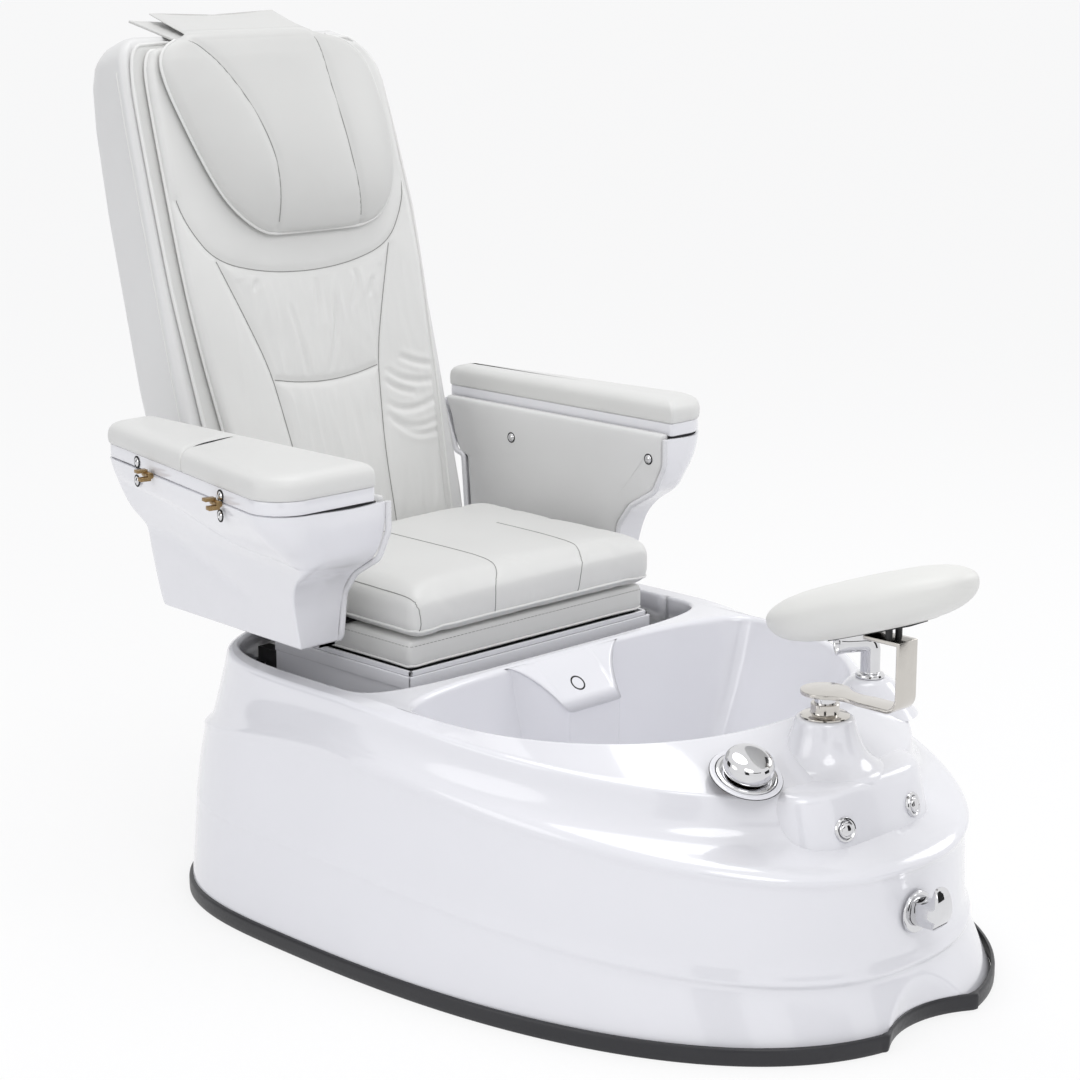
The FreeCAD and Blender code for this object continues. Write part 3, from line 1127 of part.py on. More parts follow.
def makeBack():
    low, top = cell("backFootHeight"), cell("backTop")
    half, deep, wall = cell("shellHalf"), cell("shellDepth"), cell("backWall")
    near = cell("backPadThick") + cell("surroundThick") / 2 - 6
    shape = [(low, -14, 0, -34), (low + 90, -4, 0, -12), (low + 340, 0, 0, 0), (low + 640, 0, 0, -4),
             (top - 80, -2, 0, -18), (top - 25, -12, 4, -34), (top, -40, 18, -56)]

    def shellRings(inset, droop):
        return [backRing(level - droop * (index > 0), half + wider - inset, near + nearer + inset,
                         deep + deeper - inset, (max(14 - inset, 3), 58 - inset))
                for index, (level, wider, nearer, deeper) in enumerate(shape)]

    inner = shellRings(wall, wall)
    mouth = [point + Vector(0, -5, -20) for point in inner[0]]
    shell = stack(shellRings(0, 0)).cut(stack([mouth] + inner))
    # slots for the hinge lugs
    for sign in (-1, 1):
        lug = sign * (cell("bracketAcross") - 19)
        shell = shell.cut(box(lug - 6, lug + 6, cell("backFoot"), cell("hingeDepth") + 40, low - 10, low + 62))
    keep(solid("back_shell", shell))

    padThick = cell("backPadThick")
    side = cell("backPadHalf")
    levels = [(low + 2, -26), (low + 80, -30), (low + 240, -20), (low + 480, -2), (low + 640, 0), (top - 90, 0),
              (top - 50, -6), (top - 28, -26)]
    surround = [backRing(level, cell("surroundHalf") + max(wider, -14), padThick - 6.5, near - 0.5, (3, 3))
                for level, wider in levels]
    keep(solid("back_surround", stack(surround)))
    rings = []
    for level, wider in levels:
        edge = level < low + 10 or level > top - 40
        rings.append(backRing(level, side + wider, 12 if edge else 4, padThick - 7, (7, 2) if edge else (11, 3)))
    keep(solid("back_cushion", stack(rings)))

    makeBackFrame(near + wall)


def makeBackFrame(behind):
    """Ladder of square tube inside the back, on two lugs that turn about the hinge pins."""
    low, top = cell("backFootHeight"), cell("backTop")
    tube, across = cell("backTube"), cell("backTubeHalf")
    lean = Rotation(Vector(1, 0, 0), -cell("recline"))
    foot = Vector(0, backFace(low + 34) + behind + tube + 14, low + 34)
    length = (top - low - 94) / math.cos(math.radians(cell("recline")))
    bars = [box(sign * across - tube, sign * across + tube, -tube, tube, 0, length) for sign in (-1, 1)]
    for share in (0.04, 0.5, 0.96):
        level = length * share
        bars.append(box(-across, across, 1 - tube, tube - 1, level - tube, level + tube))
    ladder = bars[0].multiFuse(bars[1:])
    ladder.Placement = Placement(foot, lean)
    pivot = Vector(0, cell("hingeDepth"), cell("hingeHeight"))
    for sign in (-1, 1):
        near, far = sorted((sign * (cell("bracketAcross") - 24), sign * (cell("bracketAcross") - 14)))
        cheek = Part.makeCylinder(20, far - near, Vector(near, pivot.y, pivot.z), Vector(1, 0, 0))
        link = [Vector(near, pivot.y - 18, pivot.z + 6), Vector(near, foot.y - 4, foot.z + 60),
                Vector(near, foot.y + 30, foot.z + 60), Vector(near, pivot.y + 19, pivot.z + 6)]
        ladder = ladder.fuse(cheek).fuse(Part.Face(closed(link)).extrude(Vector(far - near, 0, 0)))
    hole = cell("pivotRadius") + cell("runningGap")
    keep(solid("back_frame", ladder.cut(rod(hole, pivot - Vector(400, 0, 0), pivot + Vector(400, 0, 0)))))


def makePillow():
    low, top, half, thick = cell("pillowBottom"), cell("pillowTop"), cell("pillowHalf"), cell("pillowThick")
    shape = [(low - 7, 60, 0.7), (low + 3, 106, 0.95), (low + 27, 152, 1.04), (low + 67, 184, 0.94),
             (low + 127, 204, 0.76), (low + 207, half + 1, 0.54), (top - 34, half, 0.36), (top, half - 8, 0.22)]
    rings = [backRing(level, wide * half / 208, 3.5 - thick * proud, 3, (min(22, thick * proud * 0.45), 2))
             for level, wide, proud in shape]
    keep(solid("head_pillow", stack(rings)))
    front, rear, roof = backFace(top) - 10, cell("flapEnd"), cell("backTop") + 0.5
    flap = cell("flapThick")
    profile = [Vector(-400, front, top + 0.3), Vector(-400, front + 17, roof), Vector(-400, rear, roof + 11),
               Vector(-400, rear, roof + 11 + flap), Vector(-400, front + 10, roof + flap),
               Vector(-400, front - 6, top + 8)]
    sheetBody = Part.Face(Part.makePolygon(profile + profile[:1])).extrude(Vector(800, 0, 0))
    wide, narrow = cell("flapFrontHalf"), cell("flapRearHalf")
    plan = roundedWire([(-wide, front - 10, 4), (wide, front - 10, 4), (narrow, rear, 12), (-narrow, rear, 12)], 1200)
    keep(solid("pillow_flap", sheetBody.common(prism(plan, 400))))


tub = keep(makeTub())
keep(makeTrim(tub))
makeFootrestPost()
makeFootrestBracket()
makeFootrestPad()
makeSpout()
makeMixer()
makeButtons()
makeWaste()
makeDrain()
makeJet()
makePipes()
makeFrames()
makePedestal()
makeCarriage()
makeSeat()
makeArms()
makeBack()
makePillow()


# Checks and export

def report():
    doc.recompute()
    for item in doc.Objects:
        if "Invalid" in item.State or "Error" in item.State:
            raise RuntimeError("failed object: " + item.Label)
    os.makedirs("parts", exist_ok=True)
    for piece in kept:
        shape = piece.Shape
        if shape.isNull() or not shape.isValid():
            raise RuntimeError("bad shape: " + piece.Label)
        shape.exportStep("parts/%s.step" % piece.Label)
        print("%-24s solids %d volume %.0f" % (piece.Label, len(shape.Solids), shape.Volume))


report()
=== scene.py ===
import math

import bmesh
import bpy
import numpy as np
from mathutils import Matrix, Vector, noise
from mathutils.bvhtree import BVHTree


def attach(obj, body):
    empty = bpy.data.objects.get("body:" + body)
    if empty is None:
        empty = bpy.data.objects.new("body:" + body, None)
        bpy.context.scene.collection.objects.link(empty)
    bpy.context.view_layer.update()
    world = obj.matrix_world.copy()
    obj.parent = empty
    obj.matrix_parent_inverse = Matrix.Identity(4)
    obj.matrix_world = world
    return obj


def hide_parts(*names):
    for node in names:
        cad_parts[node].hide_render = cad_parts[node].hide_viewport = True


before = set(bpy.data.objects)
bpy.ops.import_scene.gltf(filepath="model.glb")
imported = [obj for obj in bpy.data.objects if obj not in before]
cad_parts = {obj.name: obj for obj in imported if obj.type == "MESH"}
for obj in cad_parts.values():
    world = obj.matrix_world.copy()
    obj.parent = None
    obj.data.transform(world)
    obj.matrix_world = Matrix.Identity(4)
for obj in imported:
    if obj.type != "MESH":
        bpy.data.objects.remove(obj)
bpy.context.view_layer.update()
print("frame loaded")

# Lengths are in millimetres in the chair's own coordinates: X across from the middle of the seat, Y towards
# the back, Z up from the floor. The row's origin is the middle of the whole box.
rowShift = np.array([30.5, 81.0, 0.0])


def metres(points):
    return (np.asarray(points, float).reshape(-1, 3) + rowShift) / 1000


def spotOf(point):
    return Vector(metres(point)[0])


def linked(name, data):
    made = bpy.data.objects.new(name, data)
    bpy.context.scene.collection.objects.link(made)
    return made


def painted(piece, look):
    piece.data.materials.clear()
    piece.data.materials.append(looks[look])
    return piece


# skins over rings of points, for the moulded and padded forms

def gridFaces(rows, columns, wrap, first):
    faces = []
    for row in range(rows - 1):
        for column in range(columns if wrap else columns - 1):
            beside = (column + 1) % columns
            low, high = first + row * columns, first + (row + 1) * columns
            faces.append((low + column, low + beside, high + beside, high + column))
    return faces


def gathered(*sheets):
    # points and faces of sheets of rows, each with whether its rows close on themselves
    points, faces = [], []
    for rows, wrap in sheets:
        faces += gridFaces(len(rows), len(rows[0]), wrap, sum(map(len, points)))
        points.append(np.concatenate(rows))
    return np.concatenate(points), faces


def unit(vectors):
    return vectors / np.maximum(np.linalg.norm(vectors, axis=-1, keepdims=True), 1e-9)


def skin(name, points, faces, look, weld=0.0, recalc=True):
    mesh = bpy.data.meshes.new(name)
    mesh.from_pydata([tuple(p) for p in metres(points)], [], faces)
    build = bmesh.new()
    build.from_mesh(mesh)
    if weld:
        bmesh.ops.remove_doubles(build, verts=build.verts, dist=weld / 1000)
    if recalc:
        bmesh.ops.recalc_face_normals(build, faces=build.faces)
    build.to_mesh(mesh)
    build.free()
    mesh.shade_smooth()
    return painted(linked(name, mesh), look)


def capRings(ring, shares=(0.93, 0.8, 0.6, 0.35, 0.12)):
    middle = ring.mean(axis=0)
    return [middle + (ring - middle) * share for share in shares]


def ringSkin(name, rings, look, capLow=True, capHigh=True, weld=0.0, flatCaps=False):
    rings = [np.asarray(ring, float) for ring in rings]
    if capLow and not flatCaps:
        rings = capRings(rings[0])[::-1] + rings
    if capHigh and not flatCaps:
        rings = rings + capRings(rings[-1])
    points, faces = gathered((rings, True))
    count = len(rings[0])
    if capLow:
        faces.append(tuple(range(count)))
    if capHigh:
        faces.append(tuple(range(len(points) - count, len(points))))
    return skin(name, points, faces, look, weld)


def softened(rings, times):
    # corner cutting with the ends held, so that rings close together keep a tight bend
    for _ in range(times):
        cut = [rings[0]]
        for before, after in zip(rings, rings[1:]):
            cut += [before * 0.75 + after * 0.25, before * 0.25 + after * 0.75]
        cut.append(rings[-1])
        rings = cut
    return rings


def curved(points, times):
    return softened([np.asarray(p, float) for p in points], times)


def lengthsAlong(path):
    return np.concatenate([[0], np.cumsum(np.linalg.norm(np.diff(path, axis=0), axis=1))])


def placesAt(path, lengths):
    along = lengthsAlong(path)
    return np.stack([np.interp(lengths, along, path[:, axis]) for axis in range(path.shape[1])], 1)


def resampled(path, count):
    return placesAt(path, np.linspace(0, lengthsAlong(path)[-1], count))


def ramp(values, start, span):
    return np.clip((values - start) / span, 0, 1)


# pieces modelled from primitives

def clear():
    if bpy.context.object and bpy.context.object.mode != "OBJECT":
        bpy.ops.object.mode_set(mode="OBJECT")
    bpy.ops.object.select_all(action="DESELECT")


def choose(piece):
    clear()
    piece.select_set(True)
    bpy.context.view_layer.objects.active = piece


def settle(piece, name, look, angle=35):
    # places go into the mesh, and the piece gets its name and finish
    choose(piece)
    bpy.ops.object.transform_apply(location=True, rotation=True, scale=True)
    bpy.ops.object.shade_smooth_by_angle(angle=math.radians(angle))
    piece.name = piece.data.name = name
    return painted(piece, look)


def inEditMode(piece, *steps):
    # operators, each with its settings, run on all of a piece
    choose(piece)
    bpy.ops.object.mode_set(mode="EDIT")
    bpy.ops.mesh.select_all(action="SELECT")
    for step, values in steps:
        step(**values)
    bpy.ops.object.mode_set(mode="OBJECT")


def applied(piece, kind, **values):
    choose(piece)
    modifier = piece.modifiers.new(kind, kind)
    for key, value in values.items():
        setattr(modifier, key, value)
    bpy.ops.object.modifier_apply(modifier=modifier.name)
    return piece


facingOut = (bpy.ops.mesh.normals_make_consistent, {"inside": False})


def turnedPiece(name, outline, spot, turn, look, sides, angle=35):
    # a circle drawn out and scaled through an outline of (radius, height), as on a lathe
    clear()
    bpy.ops.mesh.primitive_circle_add(vertices=sides, radius=outline[0][0] / 1000, fill_type="NOTHING")
    piece = bpy.context.object
    bpy.ops.object.mode_set(mode="EDIT")
    bpy.ops.mesh.select_all(action="SELECT")
    bpy.ops.transform.translate(value=(0, 0, outline[0][1] / 1000))
    for (radius, height), (nextRadius, nextHeight) in zip(outline, outline[1:]):
        bpy.ops.mesh.extrude_region_move(
            TRANSFORM_OT_translate={"value": (0, 0, (nextHeight - height) / 1000)})
        share = nextRadius / radius
        bpy.ops.transform.resize(value=(share, share, 1), center_override=(0, 0, nextHeight / 1000))
    inEditMode(piece, (bpy.ops.mesh.remove_doubles, {"threshold": 0.000005}), facingOut)
    piece.matrix_world = Matrix.Translation(spotOf(spot)) @ turn.to_4x4()
    return settle(piece, name, look, angle)


def tube(name, path, radius, look, sides, closed=False):
    # a round bar or cord along points, as a curve made a mesh
    curve = bpy.data.curves.new(name, "CURVE")
    curve.dimensions = "3D"
    curve.bevel_depth = radius / 1000
    curve.bevel_resolution = max(sides // 4, 1)
    curve.use_fill_caps = not closed
    spline = curve.splines.new("POLY")
    spline.points.add(len(path) - 1)
    for point, place in zip(spline.points, metres(np.array(path))):
        point.co = (*place, 1)
    spline.use_cyclic_u = closed
    choose(linked(name, curve))
    bpy.ops.object.convert(target="MESH")
    return settle(bpy.context.object, name, look, 60)


def block(name, low, high, look, edge, segments=3):
    # a cube at its size and place with bevelled edges
    clear()
    low, high = metres(low)[0], metres(high)[0]
    bpy.ops.mesh.primitive_cube_add(size=1, location=tuple((low + high) / 2))
    piece = bpy.context.object
    piece.scale = tuple(high - low)
    bpy.ops.object.transform_apply(location=True, rotation=True, scale=True)
    applied(piece, "BEVEL", width=edge / 1000, segments=segments, limit_method="ANGLE")
    return settle(piece, name, look)


def joined(name, pieces):
    choose(pieces[0])
    for piece in pieces:
        piece.select_set(True)
    bpy.context.view_layer.objects.active = pieces[0]
    bpy.ops.object.join()
    pieces[0].name = pieces[0].data.name = name
    return pieces[0]


def mounted(piece, body, replaces=()):
    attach(piece, body)
    if replaces:
        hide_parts(*replaces)
    return piece


def turnOf(*steps):
    turn = Matrix.Identity(3)
    for axis, degrees in steps:
        turn = turn @ Matrix.Rotation(math.radians(degrees), 3, axis)
    return turn


upright = turnOf(("Z", 0))


# finishes

def node(look, kind, **values):
    made = look.node_tree.nodes.new(kind)
    for key, value in values.items():
        made.inputs[key].default_value = value
    return made


def wire(look, source, target, entry, socket=0):
    look.node_tree.links.new(source.outputs[socket], target.inputs[entry])


def shaderOf(look):
    return look.node_tree.nodes["Principled BSDF"]


def plainLook(name, colour, roughness, metallic=0.0, coat=0.0):
    look = bpy.data.materials.new(name)
    look.use_nodes = True
    for entry, value in (("Base Color", (*colour, 1)), ("Roughness", roughness), ("Metallic", metallic),
                         ("Coat Weight", coat)):
        shaderOf(look).inputs[entry].default_value = value
    return look


def pattern(look, scale, detail=2, stretch=(1, 1, 1), kind="Noise", **values):
    # a texture's height or tone, which is its first output
    place = node(look, "ShaderNodeTexCoord")
    mapping = node(look, "ShaderNodeMapping", Scale=stretch)
    texture = node(look, "ShaderNodeTex" + kind, Scale=scale, Detail=detail, **values)
    wire(look, place, mapping, "Vector", "Object")
    wire(look, mapping, texture, "Vector")
    return texture


def ridges(look, source, strength, depth, under=None):
    ridge = node(look, "ShaderNodeBump", Strength=strength, Distance=depth)
    wire(look, source, ridge, "Height")
    if under:
        wire(look, under, ridge, "Normal")
    wire(look, ridge, shaderOf(look), "Normal")
    return ridge


def glossBetween(look, source, low, high):
    spread = node(look, "ShaderNodeMapRange", **{"From Min": 0.3, "From Max": 0.7, "To Min": low, "To Max": high})
    wire(look, source, spread, "Value")
    wire(look, spread, shaderOf(look), "Roughness")


def tintDown(look, source, colour, share):
    # the colour, and a little darker where the pattern is low
    tint = node(look, "ShaderNodeValToRGB")
    ends = tint.color_ramp.elements
    ends[0].position, ends[1].position = 0.3, 0.7
    ends[0].color, ends[1].color = (*(c * share for c in colour), 1), (*colour, 1)
    wire(look, source, tint, "Fac")
    wire(look, tint, shaderOf(look), "Base Color")


def gelCoat(name, colour):
    # polished gel coat over a faintly uneven laminate
    look = plainLook(name, colour, 0.16, coat=0.6)
    shaderOf(look).inputs["Coat Roughness"].default_value = 0.04
    broad = pattern(look, 5)
    tintDown(look, broad, colour, 0.985)
    glossBetween(look, pattern(look, 260), 0.13, 0.19)
    ridges(look, broad, 0.1, 0.003)
    return look


def leather(name, colour, crease, creaseScale=9, stretch=(1, 1, 1)):
    # pebbled grain, a faint change of tone and soft creases
    look = plainLook(name, colour, 0.44, coat=0.08)
    shaderOf(look).inputs["Coat Roughness"].default_value = 0.35
    shaderOf(look).inputs["Sheen Weight"].default_value = 0.08
    tone = pattern(look, 7, 3)
    tintDown(look, tone, colour, 0.97)
    glossBetween(look, tone, 0.38, 0.5)
    pebbles = ridges(look, pattern(look, 620, 0, kind="Voronoi"), 0.1, 0.0004)
    folds = pattern(look, creaseScale, 2.5, stretch, Roughness=0.45, Distortion=0.8)
    ridges(look, folds, crease, 0.012, pebbles)
    return look


def metal(name, colour, roughness, stretch=(1, 1, 1), wear=0.03):
    # fine polishing marks and slightly uneven gloss
    look = plainLook(name, colour, roughness, metallic=1.0)
    marks = pattern(look, 420, 3, stretch)
    glossBetween(look, marks, max(roughness - wear, 0.01), roughness + wear)
    tintDown(look, pattern(look, 30), colour, 0.94)
    ridges(look, marks, 0.04, 0.0002)
    return look


def moulded(name, colour, roughness, pebble=500, depth=0.15):
    # plastic, rubber or paint with a fine texture
    look = plainLook(name, colour, roughness)
    grain = pattern(look, pebble, 3)
    ridges(look, grain, depth, 0.0004)
    glossBetween(look, grain, roughness * 0.85, min(roughness * 1.15, 1))
    tintDown(look, pattern(look, 14), colour, 0.9)
    return look


looks = {
    "gel": gelCoat("gelCoatWhite", (0.80, 0.80, 0.835)),
    "armGel": gelCoat("armGelCoat", (0.80, 0.80, 0.83)),
    "leather": leather("leatherGreyWhite", (0.70, 0.70, 0.685), 0.10),
    "backLeather": leather("leatherSoft", (0.70, 0.70, 0.685), 0.16, 7, (1.6, 1, 0.7)),
    "pillowLeather": leather("leatherPillow", (0.615, 0.615, 0.60), 0.10),
    "sideLeather": leather("leatherSide", (0.72, 0.72, 0.715), 0.08),
    "padLeather": leather("footPadLeather", (0.74, 0.74, 0.715), 0.05),
    "piping": leather("pipingLeather", (0.76, 0.76, 0.745), 0.02),
    "thread": moulded("seamThread", (0.30, 0.30, 0.29), 0.7, 900, 0.3),
    "chrome": metal("polishedChrome", (0.70, 0.70, 0.715), 0.05, wear=0.02),
    "steel": metal("polishedSteel", (0.66, 0.64, 0.60), 0.16, (1, 1, 14)),
    "nickel": metal("warmNickel", (0.62, 0.595, 0.56), 0.12),
    "brass": metal("dullBrass", (0.33, 0.225, 0.11), 0.34, wear=0.1),
    "rubber": moulded("trimRubber", (0.018, 0.018, 0.022), 0.42, 240, 0.2),
    "black": moulded("blackPaint", (0.012, 0.012, 0.013), 0.35),
    "plastic": moulded("greyPlastic", (0.10, 0.10, 0.105), 0.5),
    "emblem": moulded("emblemFace", (0.62, 0.63, 0.66), 0.25, 300, 0.05),
    "bead": moulded("armEdging", (0.80, 0.80, 0.82), 0.3, 300, 0.05),
    "pipe": moulded("whitePipe", (0.62, 0.62, 0.62), 0.4),
    "braid": metal("braidedHose", (0.52, 0.52, 0.53), 0.35, (3, 3, 1), 0.12),
    # near-black finish that paints shade in gaps, grooves and the pad's slit; the knob's dark mark has it too
    "gap": moulded("shadowGap", (0.02, 0.02, 0.02), 0.9),
}
print("finishes made")


# Tub: stepped walls, rim and sloping deck in one skin, then the bowl, the rear well and the strip between

tubShape = {
    # front, side and rear reach, level at the side, fall towards the front, level behind
    "tiers": [
        (865, 464, 437, 4, 0, 4), (854.5, 461, 435, 42, 18, 42), (844, 458.5, 432.5, 80, 36, 80),
        (834, 456, 430, 118, 54, 118), (824, 453, 428, 156, 71, 156), (830.5, 453.4, 428, 164, 71, 165),
        (830, 452.5, 427.6, 169, 71, 169), (821, 450, 427, 184, 71, 181), (819, 445, 423, 250, 80, 215),
        (820, 437, 417, 314, 89, 246), (826.5, 437.4, 417, 324, 89, 253), (826, 437, 416.6, 329, 88, 256),
        (812, 435, 408, 336, 84, 263), (764, 432, 396, 343, 78, 270), (735, 426, 390, 352, 70, 300),
        (722, 417, 374, 372, 64, 370), (718.5, 414.3, 368, 394, 62, 394), (716, 412.6, 366, 401, 62, 401),
        (709, 406, 360, 404, 62, 404),
    ],
    "floorBlunt": 2.4, "frontBlunt": 2.3, "rearBlunt": 3.2, "columns": 400, "frontCrowd": 0.35,
    "bowlCentre": -215, "bowlFront": 358, "bowlSide": 372, "bowlRear": 92, "bowlFloor": 152, "bowlLip": 10,
    "bowlBlunt": (2.2, 2.9), "bowlPinch": 118, "bowlSlope": (70, 30),
    # how far down the wall, against how much of the height is left
    "bowlProfile": [(0.05, 0.93), (0.10, 0.85), (0.17, 0.74), (0.26, 0.62), (0.37, 0.49), (0.49, 0.36), (0.61, 0.245),
                    (0.73, 0.145), (0.84, 0.07), (0.95, 0.022), (1.06, 0.003), (1.2, 0)],
    "wellHalf": 372, "wellFront": 103, "wellRear": 342, "wellBlunt": (4.5, 4.0), "wellLip": 6, "wellDrop": 46,
    "wellWall": 5, "wellReturn": 30,
    # the deck is level behind its start and falls over its run in front of it
    "deckLevel": 404, "deckFall": 7, "deckStart": -160, "deckRun": 413, "middle": -60,
    # where the strip between bowl and well joins the deck, front and rear
    "stripFront": -200, "stripRear": -15, "stripColumns": 130,
    "notchHalf": 111, "notchDeep": 40, "notchTaper": 10, "notchTall": 94, "notchTop": 140, "notchSoft": 3,
}


def signed(values, power):
    return np.sign(values) * np.abs(values) ** power


def egg(row, turns, blunt):
    front, side, rear, level, fall, rearLevel = row
    across, along = np.cos(turns), np.sin(turns)
    power = np.where(along < 0, 2 / blunt[0], 2 / blunt[1])
    x = side * signed(across, power)
    y = np.where(along < 0, front, rear) * signed(along, power)
    middle = tubShape["middle"]
    z = level - fall * np.clip((middle - y) / (front + middle), 0, None) ** 1.2
    z = z + (rearLevel - level) * np.clip((y - middle) / (rear - middle), 0, None) ** 1.5
    return np.stack([x, y, z], 1)


def insideOval(x, y, centre, half, reaches, blunts, grow):
    # an oval whose front and rear halves differ in reach and squareness
    reach, power = (np.where(y < centre, *pair) for pair in (reaches, blunts))
    return (np.abs(x) / (half + grow)) ** power + (np.abs(y - centre) / (reach + grow)) ** power < 1


def innerEdge(rim):
    # where the deck ends: a ray from the middle leaves the bowl, the well or the strip between them
    t = tubShape
    shares = np.linspace(0.2, 0.997, 1600)
    x = rim[:, 0:1] * shares
    y = t["middle"] + (rim[:, 1:2] - t["middle"]) * shares
    inside = insideOval(x, y, t["bowlCentre"], t["bowlSide"], (t["bowlFront"], t["bowlRear"]), t["bowlBlunt"],
                        t["bowlLip"])
    inside |= insideOval(x, y, 0, t["wellHalf"], (t["wellFront"], t["wellRear"]), t["wellBlunt"], t["wellLip"])
    inside |= (y > t["bowlCentre"]) & (y < 0) & (np.abs(x) < t["wellHalf"] + t["wellLip"] + 2)
    last = inside.shape[1] - 1 - np.argmax(inside[:, ::-1], axis=1)
    rows = np.arange(len(rim))
    return np.stack([x[rows, last], y[rows, last], deckLevel(y[rows, last])], 1)


def deckLevel(y):
    t = tubShape
    return t["deckLevel"] - t["deckFall"] * np.clip((t["deckStart"] - y) / t["deckRun"], 0, None) ** 1.2


def edgeBetween(start, end, centre, half, reach, power):
    # the bowl's rear edge or the well's front edge, from one junction with the deck to the other
    turns = np.linspace(math.pi, 0, 4000)
    x = half * signed(np.cos(turns), 2 / power)
    y = centre + reach * np.abs(np.sin(turns)) ** (2 / power)
    line = np.concatenate([[start[:2]], np.stack([x, y], 1)[(x > start[0]) & (x < end[0])], [end[:2]]])
    line = resampled(line, tubShape["stripColumns"] + 1)
    return np.column_stack([line, deckLevel(line[:, 1])])


def planNormals(ring):
    ahead = np.roll(ring, -1, axis=0) - np.roll(ring, 1, axis=0)
    out = unit(np.stack([ahead[:, 1], -ahead[:, 0], np.zeros(len(ring))], 1))
    return out if ((ring - ring.mean(axis=0)) * out).sum() >= 0 else -out


def lipRings(ring, radius, steps=5):
    out = planNormals(ring)
    rings = []
    for step in range(1, steps + 1):
        turn = math.pi / 2 * step / steps
        lowered = ring - out * radius * math.sin(turn)
        lowered[:, 2] -= radius * (1 - math.cos(turn))
        rings.append(lowered)
    return rings


def bowlRings(ring):
    t = tubShape
    lip = lipRings(ring, t["bowlLip"])
    edge = lip[-1]
    front = edge[:, 1] < t["bowlCentre"]
    power, slope = np.where(front, *t["bowlBlunt"]), np.where(front, *t["bowlSlope"])
    reach = np.where(front, t["bowlFront"], t["bowlRear"])
    u = np.abs(edge[:, 0]) / t["bowlSide"]
    v = np.abs(edge[:, 1] - t["bowlCentre"]) / reach
    turn = np.arctan2(v ** (power / 2), u ** (power / 2))
    sideways = np.sign(edge[:, 0]) * np.cos(turn) ** (2 / power)
    along = np.where(front, -1, 1) * np.sin(turn) ** (2 / power)
    over = np.maximum((u ** power + v ** power) ** (1 / power), 1)
    rings = []
    for sink, height in t["bowlProfile"]:
        shrink = (over - 1) * (1 - min(sink * 3, 1)) + 1
        x = (t["bowlSide"] - sink * t["bowlPinch"]) * sideways * shrink
        y = t["bowlCentre"] + (reach - sink * slope) * along * shrink
        z = t["bowlFloor"] + (edge[:, 2] - t["bowlFloor"]) * height
        rings.append(np.stack([x, y, z], 1))
    rings = softened([edge] + rings, 1)
    return [ring] + lip + rings[1:] + capRings(rings[-1], (0.85, 0.65, 0.45, 0.25, 0.1, 0.02))


def notched(points):
    # toe notch: an upright cone cut into the foot of the front wall
    t = tubShape
    half, deep = t["notchHalf"], t["notchDeep"]
    radius = (half ** 2 + deep ** 2) / (2 * deep)
    away = points[:, :2] - (0, deep - radius - t["tiers"][0][0])
    distance = np.linalg.norm(away, axis=1)
    size = radius - t["notchTaper"] / t["notchTall"] * points[:, 2]
    soft = t["notchSoft"]
    push = soft * np.log1p(np.exp(np.clip((size - distance) / soft, -40, 40)))
    moved = points.copy()
    moved[:, :2] += away / distance[:, None] * np.where(points[:, 2] < t["notchTop"], push, 0)[:, None]
    return moved


def tubTurns():
    s = np.linspace(-math.pi, math.pi, tubShape["columns"], endpoint=False)
    return -math.pi / 2 + s - tubShape["frontCrowd"] * np.sin(s)


def makeTub():
    t = tubShape
    turns = tubTurns()
    rings = []
    for number, tier in enumerate(t["tiers"]):
        front = t["floorBlunt"] + (t["frontBlunt"] - t["floorBlunt"]) * min(number / 4, 1)
        rings.append(egg(tier, turns, (front, t["rearBlunt"])))
    edge = innerEdge(rings[-1])
    rings += [rings[-1] * (1 - share) + edge * share for share in (0.15, 0.5, 0.85)] + [edge]
    rings = [notched(ring) for ring in softened(rings, 2)]
    rings[-1] = edge
    order = np.arange(len(turns))
    left, front, rear = edge[:, 0] < 0, edge[:, 1] <= t["stripFront"], edge[:, 1] >= t["stripRear"]
    bowlLeft, bowlRight = order[left & front].min(), order[~left & front].max()
    rows = min(bowlLeft - order[left & rear].max(), order[~left & rear & (order > bowlRight)].min() - bowlRight)
    wellLeft, wellRight = bowlLeft - rows, bowlRight + rows
    lip = t["bowlLip"]
    bowlEdge = edgeBetween(edge[bowlLeft], edge[bowlRight], t["bowlCentre"], t["bowlSide"] + lip,
                           t["bowlRear"] + lip, t["bowlBlunt"][1])
    lip = t["wellLip"]
    wellEdge = edgeBetween(edge[wellLeft], edge[wellRight], 0, t["wellHalf"] + lip, -t["wellFront"] - lip,
                           t["wellBlunt"][0])
    strip = []
    for row in range(rows + 1):
        line = bowlEdge + (wellEdge - bowlEdge) * row / rows
        line[0], line[-1] = edge[bowlLeft - row], edge[bowlRight + row]
        strip.append(line)
    bowl = bowlRings(np.concatenate([edge[bowlLeft:bowlRight + 1], bowlEdge[-2:0:-1]]))
    wellRing = np.concatenate([edge[wellRight:], edge[:wellLeft + 1], wellEdge[1:-1]])
    well = [wellRing] + lipRings(wellRing, lip, 4)
    well.append(well[-1] - (0, 0, t["wellDrop"] - lip))
    inner = well[-1] + planNormals(well[-1]) * t["wellWall"]
    well += [inner, inner + (0, 0, t["wellReturn"])]
    return skin("tubShell", *gathered((rings, True), (strip, False), (bowl, True), (well, True)), "gel", weld=0.02)


ledgeShape = {
    # plan of one flank: its foot in the rear wall, the point it bends towards, its front corner
    "foot": (126, -118), "bend": (76, -140), "corner": (56, -195),
    "low": 150, "level": 334, "high": 401.5, "slope": 70 / 74, "soft": 2.5, "spread": 26, "columns": 150,
}


